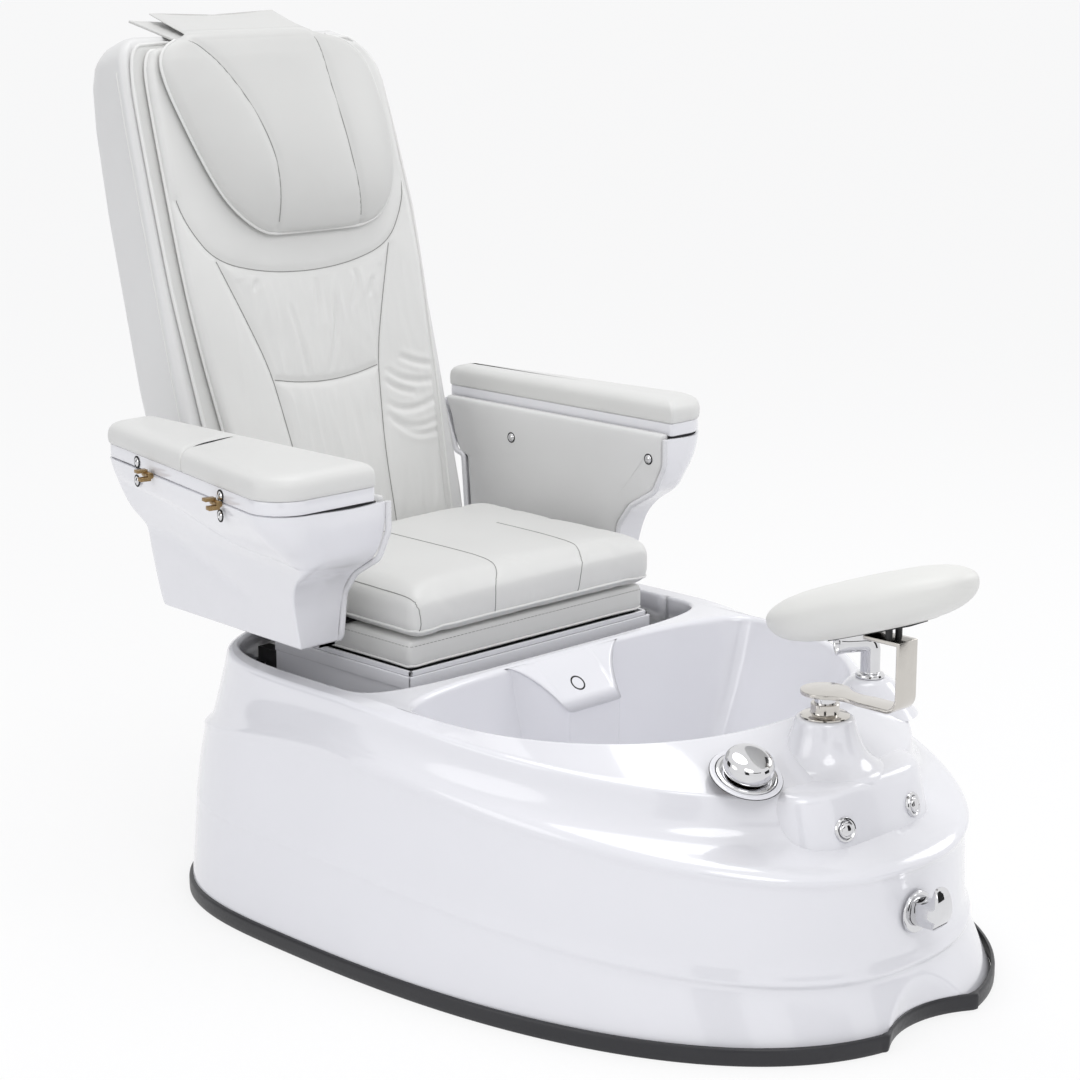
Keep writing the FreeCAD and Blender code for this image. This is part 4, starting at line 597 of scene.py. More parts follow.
def makeLedge():
    # wedge between the foot wells, with hollow flanks that die out in the bowl's rear wall
    t = ledgeShape
    foot, bend, corner = (np.array(t[key]) for key in ("foot", "bend", "corner"))
    half, depth = t["corner"]
    flank = np.array([foot * (1 - share) ** 2 + 2 * bend * share * (1 - share) + corner * share ** 2
                      for share in np.linspace(0, 1, 34)])
    across = np.column_stack([np.linspace(half, -half, 12)[1:-1], np.full(10, depth)])
    outline = np.concatenate([flank, across, flank[::-1] * (-1, 1)])
    held = [outline[0]] + [(a + 6 * b + c) / 8 for a, b, c in zip(outline, outline[1:], outline[2:])] + [outline[-1]]
    outline = resampled(np.array(held), t["columns"])
    run = np.gradient(outline, axis=0)
    out = unit(np.stack([-run[:, 1], run[:, 0]], 1))
    top = t["level"] + (outline[:, 1] - depth) * t["slope"]
    rows = []
    for share in np.linspace(0, 1, 12):
        spread = t["spread"] * (1 - share) ** 4
        z = t["low"] + (top - t["soft"] - t["low"]) * share
        rows.append(np.column_stack([outline - out * spread, z]))
    for step in range(1, 5):
        turn = math.pi / 2 * step / 4
        inset = t["soft"] * (1 - math.cos(turn))
        rows.append(np.column_stack([outline + out * inset, top - t["soft"] * (1 - math.sin(turn))]))
    last = rows[-1]
    for share in (0.25, 0.5, 0.75, 1):
        y = last[:, 1] + (foot[1] - last[:, 1]) * share
        z = last[:, 2] + (y - last[:, 1]) * t["slope"]
        rows.append(np.column_stack([last[:, 0], y, z]))
    points, faces = gathered((rows, False))
    points[:, 2] = np.minimum(points[:, 2], t["high"])
    return skin("bowlLedge", points, faces, "gel")


panelShape = {
    # half width, near and far depth, level and squareness of the button panel that stands on the front wall
    "layers": [(156, -769, -560, 232, 3.4), (154, -764, -560, 262, 3.4), (152, -754.5, -560, 296, 3.4),
               (150.5, -747, -560, 326, 3.4), (148, -742.5, -560, 338, 3.4), (141, -735, -561, 344, 3.3),
               (127, -725, -563, 346, 3.2), (100, -706, -570, 347, 3)],
    "columns": 160,
    # radius and level of the hollow-sided boss under the leg rest's flange, and of the low one under the spout
    "boss": [(92, 336), (90, 341), (86, 346.5), (78, 350.5), (71, 355.5), (65, 361.5), (60, 368), (54, 380),
             (48, 394), (45, 405), (43, 413), (40.5, 416.6), (36, 417), (21, 417)], "bossPlace": (0, -651, 0),
    "mound": [(74, 352), (66, 362), (54, 378), (43, 392), (35, 401), (29, 405.5), (24, 406), (13, 406)],
    "moundPlace": (232, -549, 0),
}


def makePanel():
    t = panelShape
    turns = np.linspace(0, 2 * math.pi, t["columns"], endpoint=False)
    rings = []
    for wide, near, far, level, blunt in t["layers"]:
        x = wide * signed(np.cos(turns), 2 / blunt)
        y = (near + far) / 2 + (far - near) / 2 * signed(np.sin(turns), 2 / blunt)
        rings.append(np.stack([x, y, np.full(len(turns), float(level))], 1))
    panel = ringSkin("controlPanel", softened(rings, 3), "gel", capLow=False)
    boss = turnedPiece("legRestBoss", curved(t["boss"], 2), t["bossPlace"], upright, "gel", 120, 80)
    return joined("controlPanel", [panel, boss])


# growth beyond the tub's foot, and level, round the edging's section
trimShape = {
    "section": [(-10, 6), (-10, 0), (2, 0), (3.6, 2), (4, 8), (4, 20), (3.2, 24.5), (1.5, 26), (-1.5, 26)],
    "notchReach": 105,
}


def makeTrim():
    # rubber edging that follows the floor outline, toe notch and all
    foot = np.array(tubShape["tiers"][0][:3])
    rings = []
    for grow, height in trimShape["section"]:
        ring = egg((*(foot + grow), height, 0, height), tubTurns(), (tubShape["floorBlunt"], tubShape["rearBlunt"]))
        moved = notched(ring)
        inNotch = (ring != moved).any(axis=1) & (np.abs(ring[:, 0]) < trimShape["notchReach"])
        moved[:, 1] -= np.where(inNotch, grow, 0)
        rings.append(moved)
    return ringSkin("baseTrim", rings, "rubber", capLow=False, capHigh=False)


mound = turnedPiece("spoutBoss", panelShape["mound"], panelShape["moundPlace"], upright, "gel", 96, 80)
tub = joined("tubShell", [makeTub(), makeLedge(), makePanel(), mound])
mounted(tub, "base", ["tub_shell"])
mounted(makeTrim(), "base", ["base_trim"])
print("tub made")


# Soft goods: shared ways of rounding, stuffing, seaming and piping

def roundedOutline(corners, cuts, steps=8):
    # corners (x, y, radius) in order; each straight run is divided so that all outlines match point for point
    points, arcs = [], []
    count = len(corners)
    spots = np.array(corners, float)[:, :2]
    for index, (_, _, radius) in enumerate(corners):
        here = spots[index]
        back, ahead = unit(spots[index - 1] - here), unit(spots[(index + 1) % count] - here)
        half = math.acos(np.clip(back @ ahead, -1, 1)) / 2
        middle = unit(back + ahead)
        centre = here + middle * radius / math.sin(half)
        start, end = here + back * radius / math.tan(half), here + ahead * radius / math.tan(half)
        first, last = start - centre, end - centre
        arc = []
        for step in range(steps + 1):
            share = step / steps
            arc.append(centre + unit(first * (1 - share) + last * share) * radius)
        arcs.append(arc)
    for index in range(count):
        points += arcs[index]
        start, end = arcs[index][-1], arcs[(index + 1) % count][0]
        points += [start + (end - start) * cut / (cuts[index] + 1) for cut in range(1, cuts[index] + 1)]
    return np.array(points)


def besidePath(points, path):
    # distance to a path, and how far along it
    away, along = np.full(len(points), 1e9), np.zeros(len(points))
    for index, (a, b) in enumerate(zip(path, path[1:])):
        run = b - a
        share = np.clip(((points - a) @ run) / (run @ run), 0, 1)
        far = np.linalg.norm(points - a - share[:, None] * run, axis=1)
        along = np.where(far < away, (index + share) / (len(path) - 1), along)
        away = np.minimum(away, far)
    return away, along


def distanceToAll(points, paths):
    return np.minimum.reduce([besidePath(points, np.array(curved(path, 2)))[0] for path in paths])


def swell(away, height, reach):
    return height * (1 - np.exp(-away / reach))


def groove(away, depth, reach):
    return depth * np.exp(-(away / reach) ** 2)


def pointsOf(piece, kind="co"):
    flat = np.empty(len(piece.data.vertices) * 3, np.float32)
    piece.data.vertices.foreach_get(kind, flat)
    return flat.reshape(-1, 3).astype(float)


def putPoints(piece, points):
    piece.data.vertices.foreach_set("co", points.astype(np.float32).ravel())
    piece.data.update()


def shifted(piece, by):
    # each point moved along its normal, in millimetres
    putPoints(piece, pointsOf(piece) + pointsOf(piece, "normal") * by[:, None] / 1000)


def seamed(piece, seams, depth, reach, puff=0.0):
    # press the seams in and let the panels between them stand up
    away = np.minimum.reduce([besidePath(pointsOf(piece), metres(curved(seam, 2)))[0] for seam in seams]) * 1000
    shifted(piece, swell(away, puff, 45) - groove(away, depth, reach))
    return piece


def laidOn(piece, path, lift, spacing=4.0):
    # a path brought onto the piece's surface, in chair millimetres
    path = np.array(curved(path, 3))
    length = np.linalg.norm(np.diff(path, axis=0), axis=1).sum()
    path = metres(resampled(path, max(int(length / spacing), 4)))
    tree = BVHTree.FromObject(piece, bpy.context.evaluated_depsgraph_get())
    laid = []
    for point in path:
        place, normal, _, _ = tree.find_nearest(Vector(point))
        laid.append(np.array(place + normal * lift / 1000) * 1000 - rowShift)
    return laid


def drawThreads(name, paths, body, look="thread", radius=0.75):
    mounted(joined(name, [tube("line", path, radius, look, 6) for path in paths]), body)


stuffing = {"voxel": 7.0, "pressure": 4.0, "frames": 20}


def stuffed(piece, cap):
    # voxel remesh, a short cloth run under pressure with the moves capped, and one subdivision
    t = stuffing
    applied(piece, "REMESH", mode="VOXEL", voxel_size=t["voxel"] / 1000)
    start = pointsOf(piece)
    cloth = piece.modifiers.new("stuffing", "CLOTH")
    cloth.settings.use_pressure = True
    cloth.settings.uniform_pressure_force = t["pressure"]
    cloth.settings.effector_weights.gravity = 0
    scene = bpy.context.scene
    scene.frame_start, scene.frame_end = 1, t["frames"]
    for number in range(1, t["frames"] + 1):
        scene.frame_set(number)
    shaped = piece.evaluated_get(bpy.context.evaluated_depsgraph_get())
    moved = pointsOf(shaped) - start
    size = np.maximum(np.linalg.norm(moved, axis=1)[:, None], 1e-9)
    limit = cap / 1000
    piece.modifiers.remove(cloth)
    scene.frame_set(1)
    putPoints(piece, start + moved / size * limit * np.tanh(size / limit))
    applied(piece, "SUBSURF", levels=1, render_levels=1)
    piece.data.shade_smooth()
    return piece


def heldInside(piece, low, high):
    # keep every point inside the space of the solid that the piece stands for
    putPoints(piece, np.clip(pointsOf(piece), metres(low)[0], metres(high)[0]))


def mirroredPath(path):
    return [(-x, *rest) for x, *rest in path]


def frontEdge(corners, middle):
    # forward along the left side, across the front and back along the right side
    return corners + [middle] + mirroredPath(corners[::-1])


def cushionPad(name, t, segments):
    low, high = (-t["half"], t["front"], t["low"]), (t["half"], t["rear"], t["high"])
    return stuffed(block(name, low, high, "leather", t["edge"], segments), t["cap"])


def piped(name, path, radius, body="backrest", sides=10):
    mounted(tube(name, path, radius, "piping", sides), body)


# Seat: main cushion and the lower cushion it rests on

seatShape = {
    "half": 266, "front": -76, "rear": 340, "low": 464, "high": 531, "edge": 20, "cap": 9,
    "crown": 7, "crownMiddle": (0, 130), "crownReach": (280, 240), "frontFall": 9,
    "space": ((-276, -92, 462.5), (276, 352, 546)),
    "piping": frontEdge([(-270, 330, 466), (-271, -60, 466), (-262, -84, 466)], (0, -86, 466)),
    "seams": [
        [(-256, 320, 533), (-256, 85, 533), (-262, -40, 533), (-263, -76, 527), (-258, -84, 500), (-256, -83, 464)],
        [(-49, 330, 536), (-49, 240, 536), (-50, 20, 536), (-64, -40, 536), (-90, -76, 530), (-92, -85, 500),
         (-92, -83, 464)],
        [(128, 160, 536), (127, 60, 536), (122, -20, 536), (104, -74, 528), (96, -85, 505), (90, -83, 464)],
    ],
}


def makeSeat():
    t = seatShape
    pad = cushionPad("seatCushionPad", t, 5)
    points = pointsOf(pad) * 1000 - rowShift
    spread = np.clip(1 - ((points[:, :2] - t["crownMiddle"]) / t["crownReach"]) ** 2, 0, 1)
    top = ramp(points[:, 2], 500, 30)
    points[:, 2] += t["crown"] * (spread[:, 0] * spread[:, 1]) ** 0.6 * top
    points[:, 2] -= t["frontFall"] * ramp(points[:, 1], -30, -50) ** 2 * top
    putPoints(pad, metres(points))
    seamed(pad, t["seams"], 3.0, 7, 1.5)
    heldInside(pad, *t["space"])
    mounted(pad, "seat", ["seat_cushion"])
    drawThreads("seatCushionSeams", [laidOn(pad, seam, 0.1) for seam in t["seams"]], "seat")
    piped("seatCushionPiping", laidOn(pad, t["piping"], 0.5), 2.2, "seat", 8)


lowerShape = {
    "half": 260, "front": -56, "rear": 288, "low": 412, "high": 457, "edge": 7, "cap": 4,
    "space": ((-267, -63, 411.5), (267, 295, 459.5)), "foot": 413, "stitch": 5.0, "stitchGap": 3.0,
    "line": frontEdge([(-262, 270, 449), (-263, -50, 449), (-256, -60, 449)], (0, -61, 449)),
}


def makeLowerCushion():
    t = lowerShape
    pad = cushionPad("lowerCushionPad", t, 4)
    heldInside(pad, *t["space"])
    seamed(pad, [t["line"]], 1.2, 3)
    mounted(pad, "seat", ["seat_base_cushion"])
    stitches("lowerCushionStitches", pad, t["line"], t["stitch"], t["stitchGap"])
    foot = [(x, y, t["foot"]) for x, y, _ in t["line"]]
    piped("lowerCushionPiping", laidOn(pad, foot, 0.3), 1.8, "seat", 8)


def stitches(name, piece, path, long, gap):
    line = np.array(laidOn(piece, path, 0.3, 1.0))
    pieces = [tube("stitch", placesAt(line, (start, start + long)), 0.45, "thread", 4)
              for start in np.arange(0, lengthsAlong(line)[-1] - long, long + gap)]
    mounted(joined(name, pieces), "seat")


# Back: cushion with yoke and bib seams, the piped layer behind it and the upholstered shell

backShape = {
    "foot": np.array([0, 350.0, 463.0]), "lean": math.radians(14.6),
    # level along the back, half width
    "cushion": [(4, 216), (30, 213), (90, 212), (170, 218), (260, 227), (380, 241), (500, 250), (660, 252),
                (820, 252), (858, 249), (880, 240), (888, 226)],
    # seams and folds, as (across, level along the back)
    "yoke": frontEdge([(-246, 640), (-228, 590), (-187, 535), (-100, 510)], (0, 502)),
    "bib": [(-187, 535), (-150, 440), (-118, 350), (-107, 270), (-96, 180), (-92, 30)],
    "cross": frontEdge([(-112, 330), (-60, 320)], (0, 316)),
    "folds": [[(10, 491), (4, 455), (-5, 408)], [(50, 483), (42, 431), (28, 381), (3, 326)],
              [(95, 499), (100, 479), (82, 437)], [(-58, 455), (-46, 384), (-43, 326)], [(-113, 497), (-124, 480)],
              [(135, 481), (121, 448)], [(157, 339), (195, 323), (229, 316)],
              [(124, 322), (148, 302), (187, 290), (227, 289)], [(117, 304), (143, 283), (182, 272)],
              [(112, 266), (142, 247), (183, 245), (228, 258)], [(110, 245), (142, 219), (182, 211), (226, 221)],
              [(118, 232), (152, 205), (192, 198), (229, 205)]],
    "swell": (5.5, 30), "groove": (2.6, 6), "foldRidge": (1.2, 5.5), "foldGroove": (2.6, 5), "crease": 3.0,
    # the far top corner is drawn in: level, by how much
    "drawnIn": [(600, 0), (730, 9), (830, 17), (855, 25), (872, 35), (888, 50), (914, 66)],
    # level, how far the piped layer stands out beyond the cushion, and that layer's own top
    "margin": [(4, 24), (80, 25), (95, 32), (260, 30), (400, 22)], "marginTop": [(868, 268), (892, 258), (900, 240)],
    # level, half width, how far the front and the rear are set back
    "shell": [(0, 270, 0, -34), (14, 274, 0, -26), (95, 280, 0, -12), (350, 284, 0, 0), (640, 284, 0, -4),
              (780, 283, 0, -12), (850, 281, 0, -22), (884, 276, 2, -32), (904, 264, 6, -44), (914, 246, 12, -58)],
}
backOut = np.array([0, -math.cos(backShape["lean"]), math.sin(backShape["lean"])])
backUp = np.array([0, math.sin(backShape["lean"]), math.cos(backShape["lean"])])


def onBack(points):
    # (across, forward, up along the back) to chair coordinates
    points = np.asarray(points, float).reshape(-1, 3)
    return backShape["foot"] + points[:, 0:1] * (1, 0, 0) + points[:, 1:2] * backOut + points[:, 2:3] * backUp


def fromBack(piece):
    # across, forward and up along the back, for each point of a piece
    local = pointsOf(piece) * 1000 - rowShift - backShape["foot"]
    return local[:, 0], local @ backOut, local @ backUp


def atDepth(path, forward):
    return onBack([(x, forward, level) for x, level in path])


def drawnIn(points):
    # (across, forward, up along the back), narrower at the far top corner
    points = np.array(points, float)
    levels, by = np.array(backShape["drawnIn"]).T
    points[:, 0] *= 1 - np.where(points[:, 0] > 0, np.interp(points[:, 2], levels, by), 0) / 262
    return points


def backLoft(name, stations, near, far, corners, look, fronts, levels):
    # stations (level, half width, front and rear set back), with a rounded outline across the back at each level
    stations = np.array(stations, float)
    rings = []
    for level in np.linspace(stations[0, 0], stations[-1, 0], levels):
        half, back, deep = (np.interp(level, stations[:, 0], stations[:, column]) for column in (1, 2, 3))
        outline = roundedOutline([(-half, near - back, corners[0]), (half, near - back, corners[0]),
                                  (half, far - deep, corners[1]), (-half, far - deep, corners[1])],
                                 (fronts, 10, 24, 10))
        rings.append(onBack(drawnIn(np.column_stack([outline, np.full(len(outline), level)]))))
    return ringSkin(name, rings, look)


def creaseAt(x, level):
    broad = noise.noise(Vector((x * 0.035, level * 0.007, 3.1)))
    return -abs(broad + 0.5 * noise.noise(Vector((x * 0.075, level * 0.014, 9.7))))


def makeBackCushion():
    t = backShape
    ends = (t["cushion"][0][0], t["cushion"][-1][0])
    stations = [(level, half, 8 if level in ends else (2 if level < 40 or level > 850 else 0), 0)
                for level, half in t["cushion"]]
    pad = backLoft("backCushionPad", stations, -4, -22, (12, 3), "backLeather", 130, 230)
    seams = [t["yoke"], t["bib"], mirroredPath(t["bib"]), t["cross"]]
    across, forward, level = fromBack(pad)
    flat = np.column_stack([across, level])
    front = ramp(forward, -14, 8)
    away = distanceToAll(flat, seams)
    rise = swell(away, *t["swell"]) - groove(away, *t["groove"])
    for fold in t["folds"]:
        near, along = besidePath(flat, np.array(curved(fold, 2)))
        soft = np.sin(np.pi * along) ** 0.8 * ramp(away, 2, 8)
        rise += soft * (groove(near - 10, *t["foldRidge"]) - groove(near, *t["foldGroove"]))
    # fine upright creases, mostly in the bib and at the waist
    creases = np.array([creaseAt(x, s) if shown > 0 else 0.0 for x, s, shown in zip(across, level, front)])
    within = (np.abs(across) < np.interp(level, [0, 180, 330, 535], [92, 96, 112, 187])) & (level < 500)
    inBib = np.where(within, 1.0, 0.25) * ramp(level, 560, -120)
    waist = np.exp(-((level - 60) / 60) ** 2) * 0.8
    rise += creases * t["crease"] * (inBib + waist) * ramp(away, 3, 16)
    lines = [laidOn(pad, atDepth(seam, 0), -1.9) for seam in seams]
    shifted(pad, rise * front)
    mounted(pad, "backrest", ["back_cushion"])
    drawThreads("backCushionSeams", lines, "backrest")


def edgePath(stations, forward, inset=0.0):
    # up the left edge, across the top and down the right edge
    left = [(inset - half, forward, level) for level, half in stations]
    return onBack(drawnIn(curved(left + mirroredPath(left[::-1]), 2)))


def makeBackLayers():
    t = backShape
    piped("backCushionPiping", edgePath(t["cushion"], -16), 3.2)
    surround = [(level, half + np.interp(level, *zip(*t["margin"]))) for level, half in t["cushion"][:-3]]
    surround += t["marginTop"]
    layer = backLoft("backSurroundPad", [(*row, 0, 0) for row in surround], -24.5, -32, (3.5, 3.5), "backLeather",
                     40, 70)
    mounted(layer, "backrest", ["back_surround"])
    piped("backSurroundPiping", edgePath(surround, -26, 1.5), 3.4)
    body = backLoft("backShellCover", t["shell"], -33, -183, (13, 56), "sideLeather", 40, 110)
    mounted(body, "backrest", ["back_shell"])
    seams = [onBack([(x, -52, level) for level in np.linspace(40, 860, 40)]) for x in (-283.5, 283.5)]
    drawThreads("backShellSeams", [laidOn(body, seam, 0.1) for seam in seams], "backrest", "piping", 1.3)


# Head pillow hung over the top of the back by its flap

pillowShape = {
    # level along the back, left edge, right edge, rise in front of the edge, depth behind it, squareness
    "pad": [(568, -36, 96, 2, 2, 3), (569, -76, 118, 6, 4, 3), (577, -97, 152, 14, 8, 3), (592, -119, 175, 22, 8, 3),
            (621, -149, 199, 31, 8, 3), (663, -174, 213, 36, 8, 3), (716, -196, 217, 37, 8, 3),
            (765, -214, 214, 34, 8, 3), (815, -231, 206, 28, 8, 3), (855, -238, 192, 23, 8, 3),
            (876, -231, 171, 19, 8, 3), (889, -216, 146, 16, 7, 3.4), (896, -199, 116, 13, 6, 4)],
    # depth and height of the edge on the way over the top, then as above
    "over": [(570, 1336.4, -187, 94, 9, 5, 5), (577, 1338.6, -173, 98, 5.5, 3, 9), (592, 1341, -161, 104, 3, 2.5, 14),
             (615, 1345, -155, 107, 2.5, 2.5, 18), (650, 1352, -147, 113, 2.5, 2.5, 18),
             (700, 1362, -135, 128, 2.5, 2.5, 18), (731, 1368.5, -128, 138, 2.5, 2.5, 18)],
    "edge": 10, "split": 604, "sag": 8, "columns": 84, "swell": (3.2, 26), "groove": (2.4, 6),
    "seams": [[(-184, 903), (-170, 894), (-130, 851), (-90, 782), (-64, 704), (-61, 650), (-68, 576)],
              [(84, 901), (89, 880), (89, 801), (98, 695), (107, 630), (114, 574)]],
    # the flap's lower layer: depth, height, left and right edge
    "under": [(577, 1333, -190, 90), (600, 1336, -186, 96), (650, 1344, -178, 108), (700, 1353, -172, 122),
              (733, 1359, -169, 132)], "underSag": 6, "underColumns": 40,
}


def pillowRings():
    # one skin: the pad, whose middle panel runs on over the top as the flap
    t = pillowShape
    rows = [np.append(onBack([(0, t["edge"], row[0])])[0][1:], row[1:]) for row in t["pad"]] + t["over"]
    rows = np.array(curved(rows, 3))
    ahead = unit(np.gradient(rows[:, :2], axis=0))
    share = np.sin(np.linspace(-1, 1, t["columns"]) * math.pi / 2)
    rings = []
    for (y, z, left, right, rise, under, square), (alongY, alongZ) in zip(rows, ahead):
        x = (left + right) / 2 + (right - left) / 2 * share
        crown = np.clip(1 - np.abs(share) ** square, 0, 1) ** 0.62
        sag = t["sag"] * (1 - share ** 2) * ramp(y, 592, 140)
        front, rear = [(x, y - alongZ * off, z + alongY * off - sag) for off in (rise * crown, -under * crown ** 0.5)]
        rings.append(np.concatenate([np.column_stack(front), np.column_stack(rear)[::-1][1:-1]]))
    return rings, rows


def makePillow():
    t = pillowShape
    rings, rows = pillowRings()
    split = int(np.argmax(rows[:, 0] > t["split"]))
    pad = ringSkin("headPillowPad", rings[:split + 1], "pillowLeather", weld=0.02)
    across, forward, level = fromBack(pad)
    lines = [laidOn(pad, atDepth(seam, 42), -1.8) for seam in t["seams"]]
    away = distanceToAll(np.column_stack([across, level]), t["seams"])
    rise = swell(away, *t["swell"]) * ramp(forward, 12, 8) * ramp(level, 892, -30)
    shifted(pad, rise - groove(away, *t["groove"]) * ramp(forward, 4, 8))
    mounted(pad, "backrest", ["head_pillow"])
    drawThreads("headPillowSeams", lines, "backrest")
    border = [(row[1], t["edge"], row[0]) for row in t["pad"][::-1]]
    border += [(row[2], t["edge"], row[0]) for row in t["pad"]]
    piped("headPillowPiping", onBack(np.array(curved(border, 2))), 2.6)
    return rings[split:]


def makeFlap(rings):
    # the panel's end, and the layer that lies below it
    t = pillowShape
    upper = ringSkin("flapUpper", rings, "pillowLeather", weld=0.02)
    rows, count = np.array(curved(t["under"], 2)), t["underColumns"]
    start, end = rows[[0, -1], 0]
    share = np.linspace(-1, 1, count)
    sheet = []
    for y, z, left, right in rows:
        sag = t["underSag"] * (1 - share ** 2) * (y - start) / (end - start)
        sheet.append(np.column_stack([(left + right) / 2 + (right - left) / 2 * share, np.full(count, y), z - sag]))
    lower = skin("flapLower", *gathered((sheet, False)), "pillowLeather", recalc=False)
    applied(lower, "SOLIDIFY", thickness=0.004, offset=-1)
    applied(lower, "BEVEL", width=0.001, segments=2, limit_method="ANGLE")
    lower.data.shade_smooth()
    flap = joined("pillowFlapCloth", [upper, lower])
    heldInside(flap, (-262, 500, 1250), (262, 742, 1380))
    mounted(flap, "backrest", ["pillow_flap"])


makeSeat()
makeLowerCushion()
print("seat made")
makeBackCushion()
makeBackLayers()
makeFlap(makePillow())
print("back made")


# Arms: shells with a long crease, beads, padded side panels, lids and their pads

armShape = {
    "low": 455, "top": 690, "inner": 318, "wall": 4.6,
    "right": {"front": -71, "rear": 482, "topFront": 536, "topRear": 421, "footFront": 392, "footRear": 376,
              "lidInner": 335},
    "left": {"front": -46, "rear": 494, "topFront": 437, "topRear": 390, "footFront": 366, "footRear": 352,
             "lidInner": 331},
    # share of the height, front and rear depth, share of the flare at the front and rear, corner radius
    "stations": [(0, 43, -66, 0, 0, 3), (0.1, 40, -60, 0.05, 0.06, 3), (0.34, 30, -55, 0.17, 0.22, 3.5),
                 (0.47, 8, -55, 0.26, 0.36, 4), (0.55, -22, -54, 0.33, 0.48, 7), (0.6, -40, -46, 0.39, 0.58, 18),
                 (0.68, -56, -30, 0.52, 0.72, 40), (0.79, -67, -19, 0.76, 0.86, 50), (0.9, -71, -9, 0.93, 0.95, 55),
                 (1, -71, 0, 1, 1, 56)],
    # points along each plan outline between its corners: rear, outer, front and inner side
    "cuts": (10, 60, 24, 30),
    "crease": [(-75, 586), (-46, 596), (23, 604), (90, 606), (134, 609), (187, 626), (224, 638), (271, 647),
               (339, 652), (469, 658)],
    "creaseDepth": 6.5, "creaseReach": (9, 30),
    "valley": [(-60, 500), (150, 520), (251, 548), (336, 576), (462, 586)], "valleyDepth": 3.0, "valleyReach": 22,
    # the rim dips below the lid at the front: distance from the middle, half width, depth
    "dip": (378, 62, 3.4),
    # how far the shell's foot turns in, and down
    "hem": [(1, 2.2), (3, 3.6), (6, 4.2)],
    "bead": -314.2, "beadRadius": 4.8,
    # inset and distance from the middle of the side panel's layers, and the strip along its top
    "panel": [(7, -328), (7, -319), (8, -316), (10.5, -314.2), (15, -313.4), (24, -312.8), (40, -312.4)],
    "strip": 45, "stripLift": 14,
}


def armRow(side, row, inset=0.0, inner=None, soft=1.0):
    # corners of the plan outline at one station, right arm
    _, front, rear, flareFront, flareRear, corner = row
    size = armShape[side]
    near = armShape["inner"] + inset if inner is None else inner
    front += size["front"] - armShape["right"]["front"] + inset
    rear += size["rear"] - inset
    outFront = size["footFront"] + flareFront * (size["topFront"] - size["footFront"]) - inset
    outRear = size["footRear"] + flareRear * (size["topRear"] - size["footRear"]) - inset
    outer = max(min(corner - inset / 2, (outFront - near) * 0.7), 1.5)
    return [(-near, rear, soft), (-outRear, rear, min(16, (outRear - near) * 0.3)), (-outFront, front, outer),
            (-near, front, soft)]


def planRing(corners, level):
    flat = roundedOutline(corners, armShape["cuts"])
    return np.column_stack([flat, np.full(len(flat), float(level))])


def sideways(points, side):
    points = np.asarray(points, float)
    return points if side == "right" else points * (-1, 1, 1)


def makeArmShell(side):
    t = armShape
    # the outer side only, from the inner rear corner round to the inner front one
    outside = slice(8, sum(t["cuts"][:3]) + 28)
    rings = [planRing(armRow(side, row), t["low"] + row[0] * (t["top"] - t["low"]))[outside] for row in t["stations"]]
    rings = np.array(softened(rings, 3))
    x, z = rings[:, :, 0], rings[:, :, 2]
    depth = rings[:, :, 1] - (t[side]["front"] - t["right"]["front"])
    above, below = [z - np.interp(depth, *zip(*t[line])) for line in ("crease", "valley")]
    soft, tall = t["creaseReach"]
    push = t["creaseDepth"] * np.where(above > 0, 1 - np.exp(-above / soft), 0) * np.exp(-np.clip(above, 0, 99) / tall)
    push -= groove(below, t["valleyDepth"], t["valleyReach"]) * ramp(depth, 60, 160)
    push *= ramp(-x, 372, 14) * ramp(depth, -62, 30) * ramp(depth, 480, -60)
    middle, reach, fall = t["dip"]
    dip = groove(-(x - push) - middle, fall, reach) * ramp(depth, -30, -30) * ramp(z, 665, 25)
    x -= push
    z -= dip
    bottom = rings[0]
    under = []
    for inset, drop in t["hem"]:
        drawn = bottom.copy()
        drawn[:, 0] = np.minimum(bottom[:, 0] + inset, -t["inner"])
        drawn[:, 1] = bottom[:, 1] + np.clip(230 - bottom[:, 1], -1, 1) * inset
        drawn[:, 2] -= drop
        under.append(drawn)
    for share in (0.4, 0.8, 1):
        foot = drawn.copy()
        foot[:, 0] += (-t["inner"] - drawn[:, 0]) * share
        under.append(foot)
    rows = [sideways(row, side) for row in under[::-1] + list(rings)]
    shell = skin("armShell" + side.title(), *gathered((rows, False)), "armGel", weld=0.02)
    # an open skin may have its faces inside out
    centre = metres(sideways([-300, 230, 600], side))[0]
    if ((pointsOf(shell) - centre) * pointsOf(shell, "normal")).sum() < 0:
        inEditMode(shell, (bpy.ops.mesh.flip_normals, {}))
    applied(shell, "SOLIDIFY", thickness=t["wall"] / 1000, offset=-1)
    applied(shell, "BEVEL", width=0.0014, segments=2, limit_method="ANGLE", angle_limit=math.radians(60))
    shell.data.shade_smooth()
    mounted(shell, "seat", ["arm_shell_" + side])


def armSide(side, inset, steps=8):
    # side outline of the arm as (depth, height)
    size, low, top = armShape[side], armShape["low"] + inset * 0.9, armShape["top"]
    front, rear = size["front"] + inset, size["rear"] - inset
    return roundedOutline([
        (front, top - inset, 3), (front, top - 46, 16), (front + 22, top - 92, 34), (front + 76, top - 124, 30),
        (front + 103, top - 160, 30), (front + 113, low, 12), (rear - 66, low, 12),
        (rear - 55, top - 95, 8), (rear - 36, top - 90, 8), (rear, top - inset, 3)], (4,) * 10, steps)


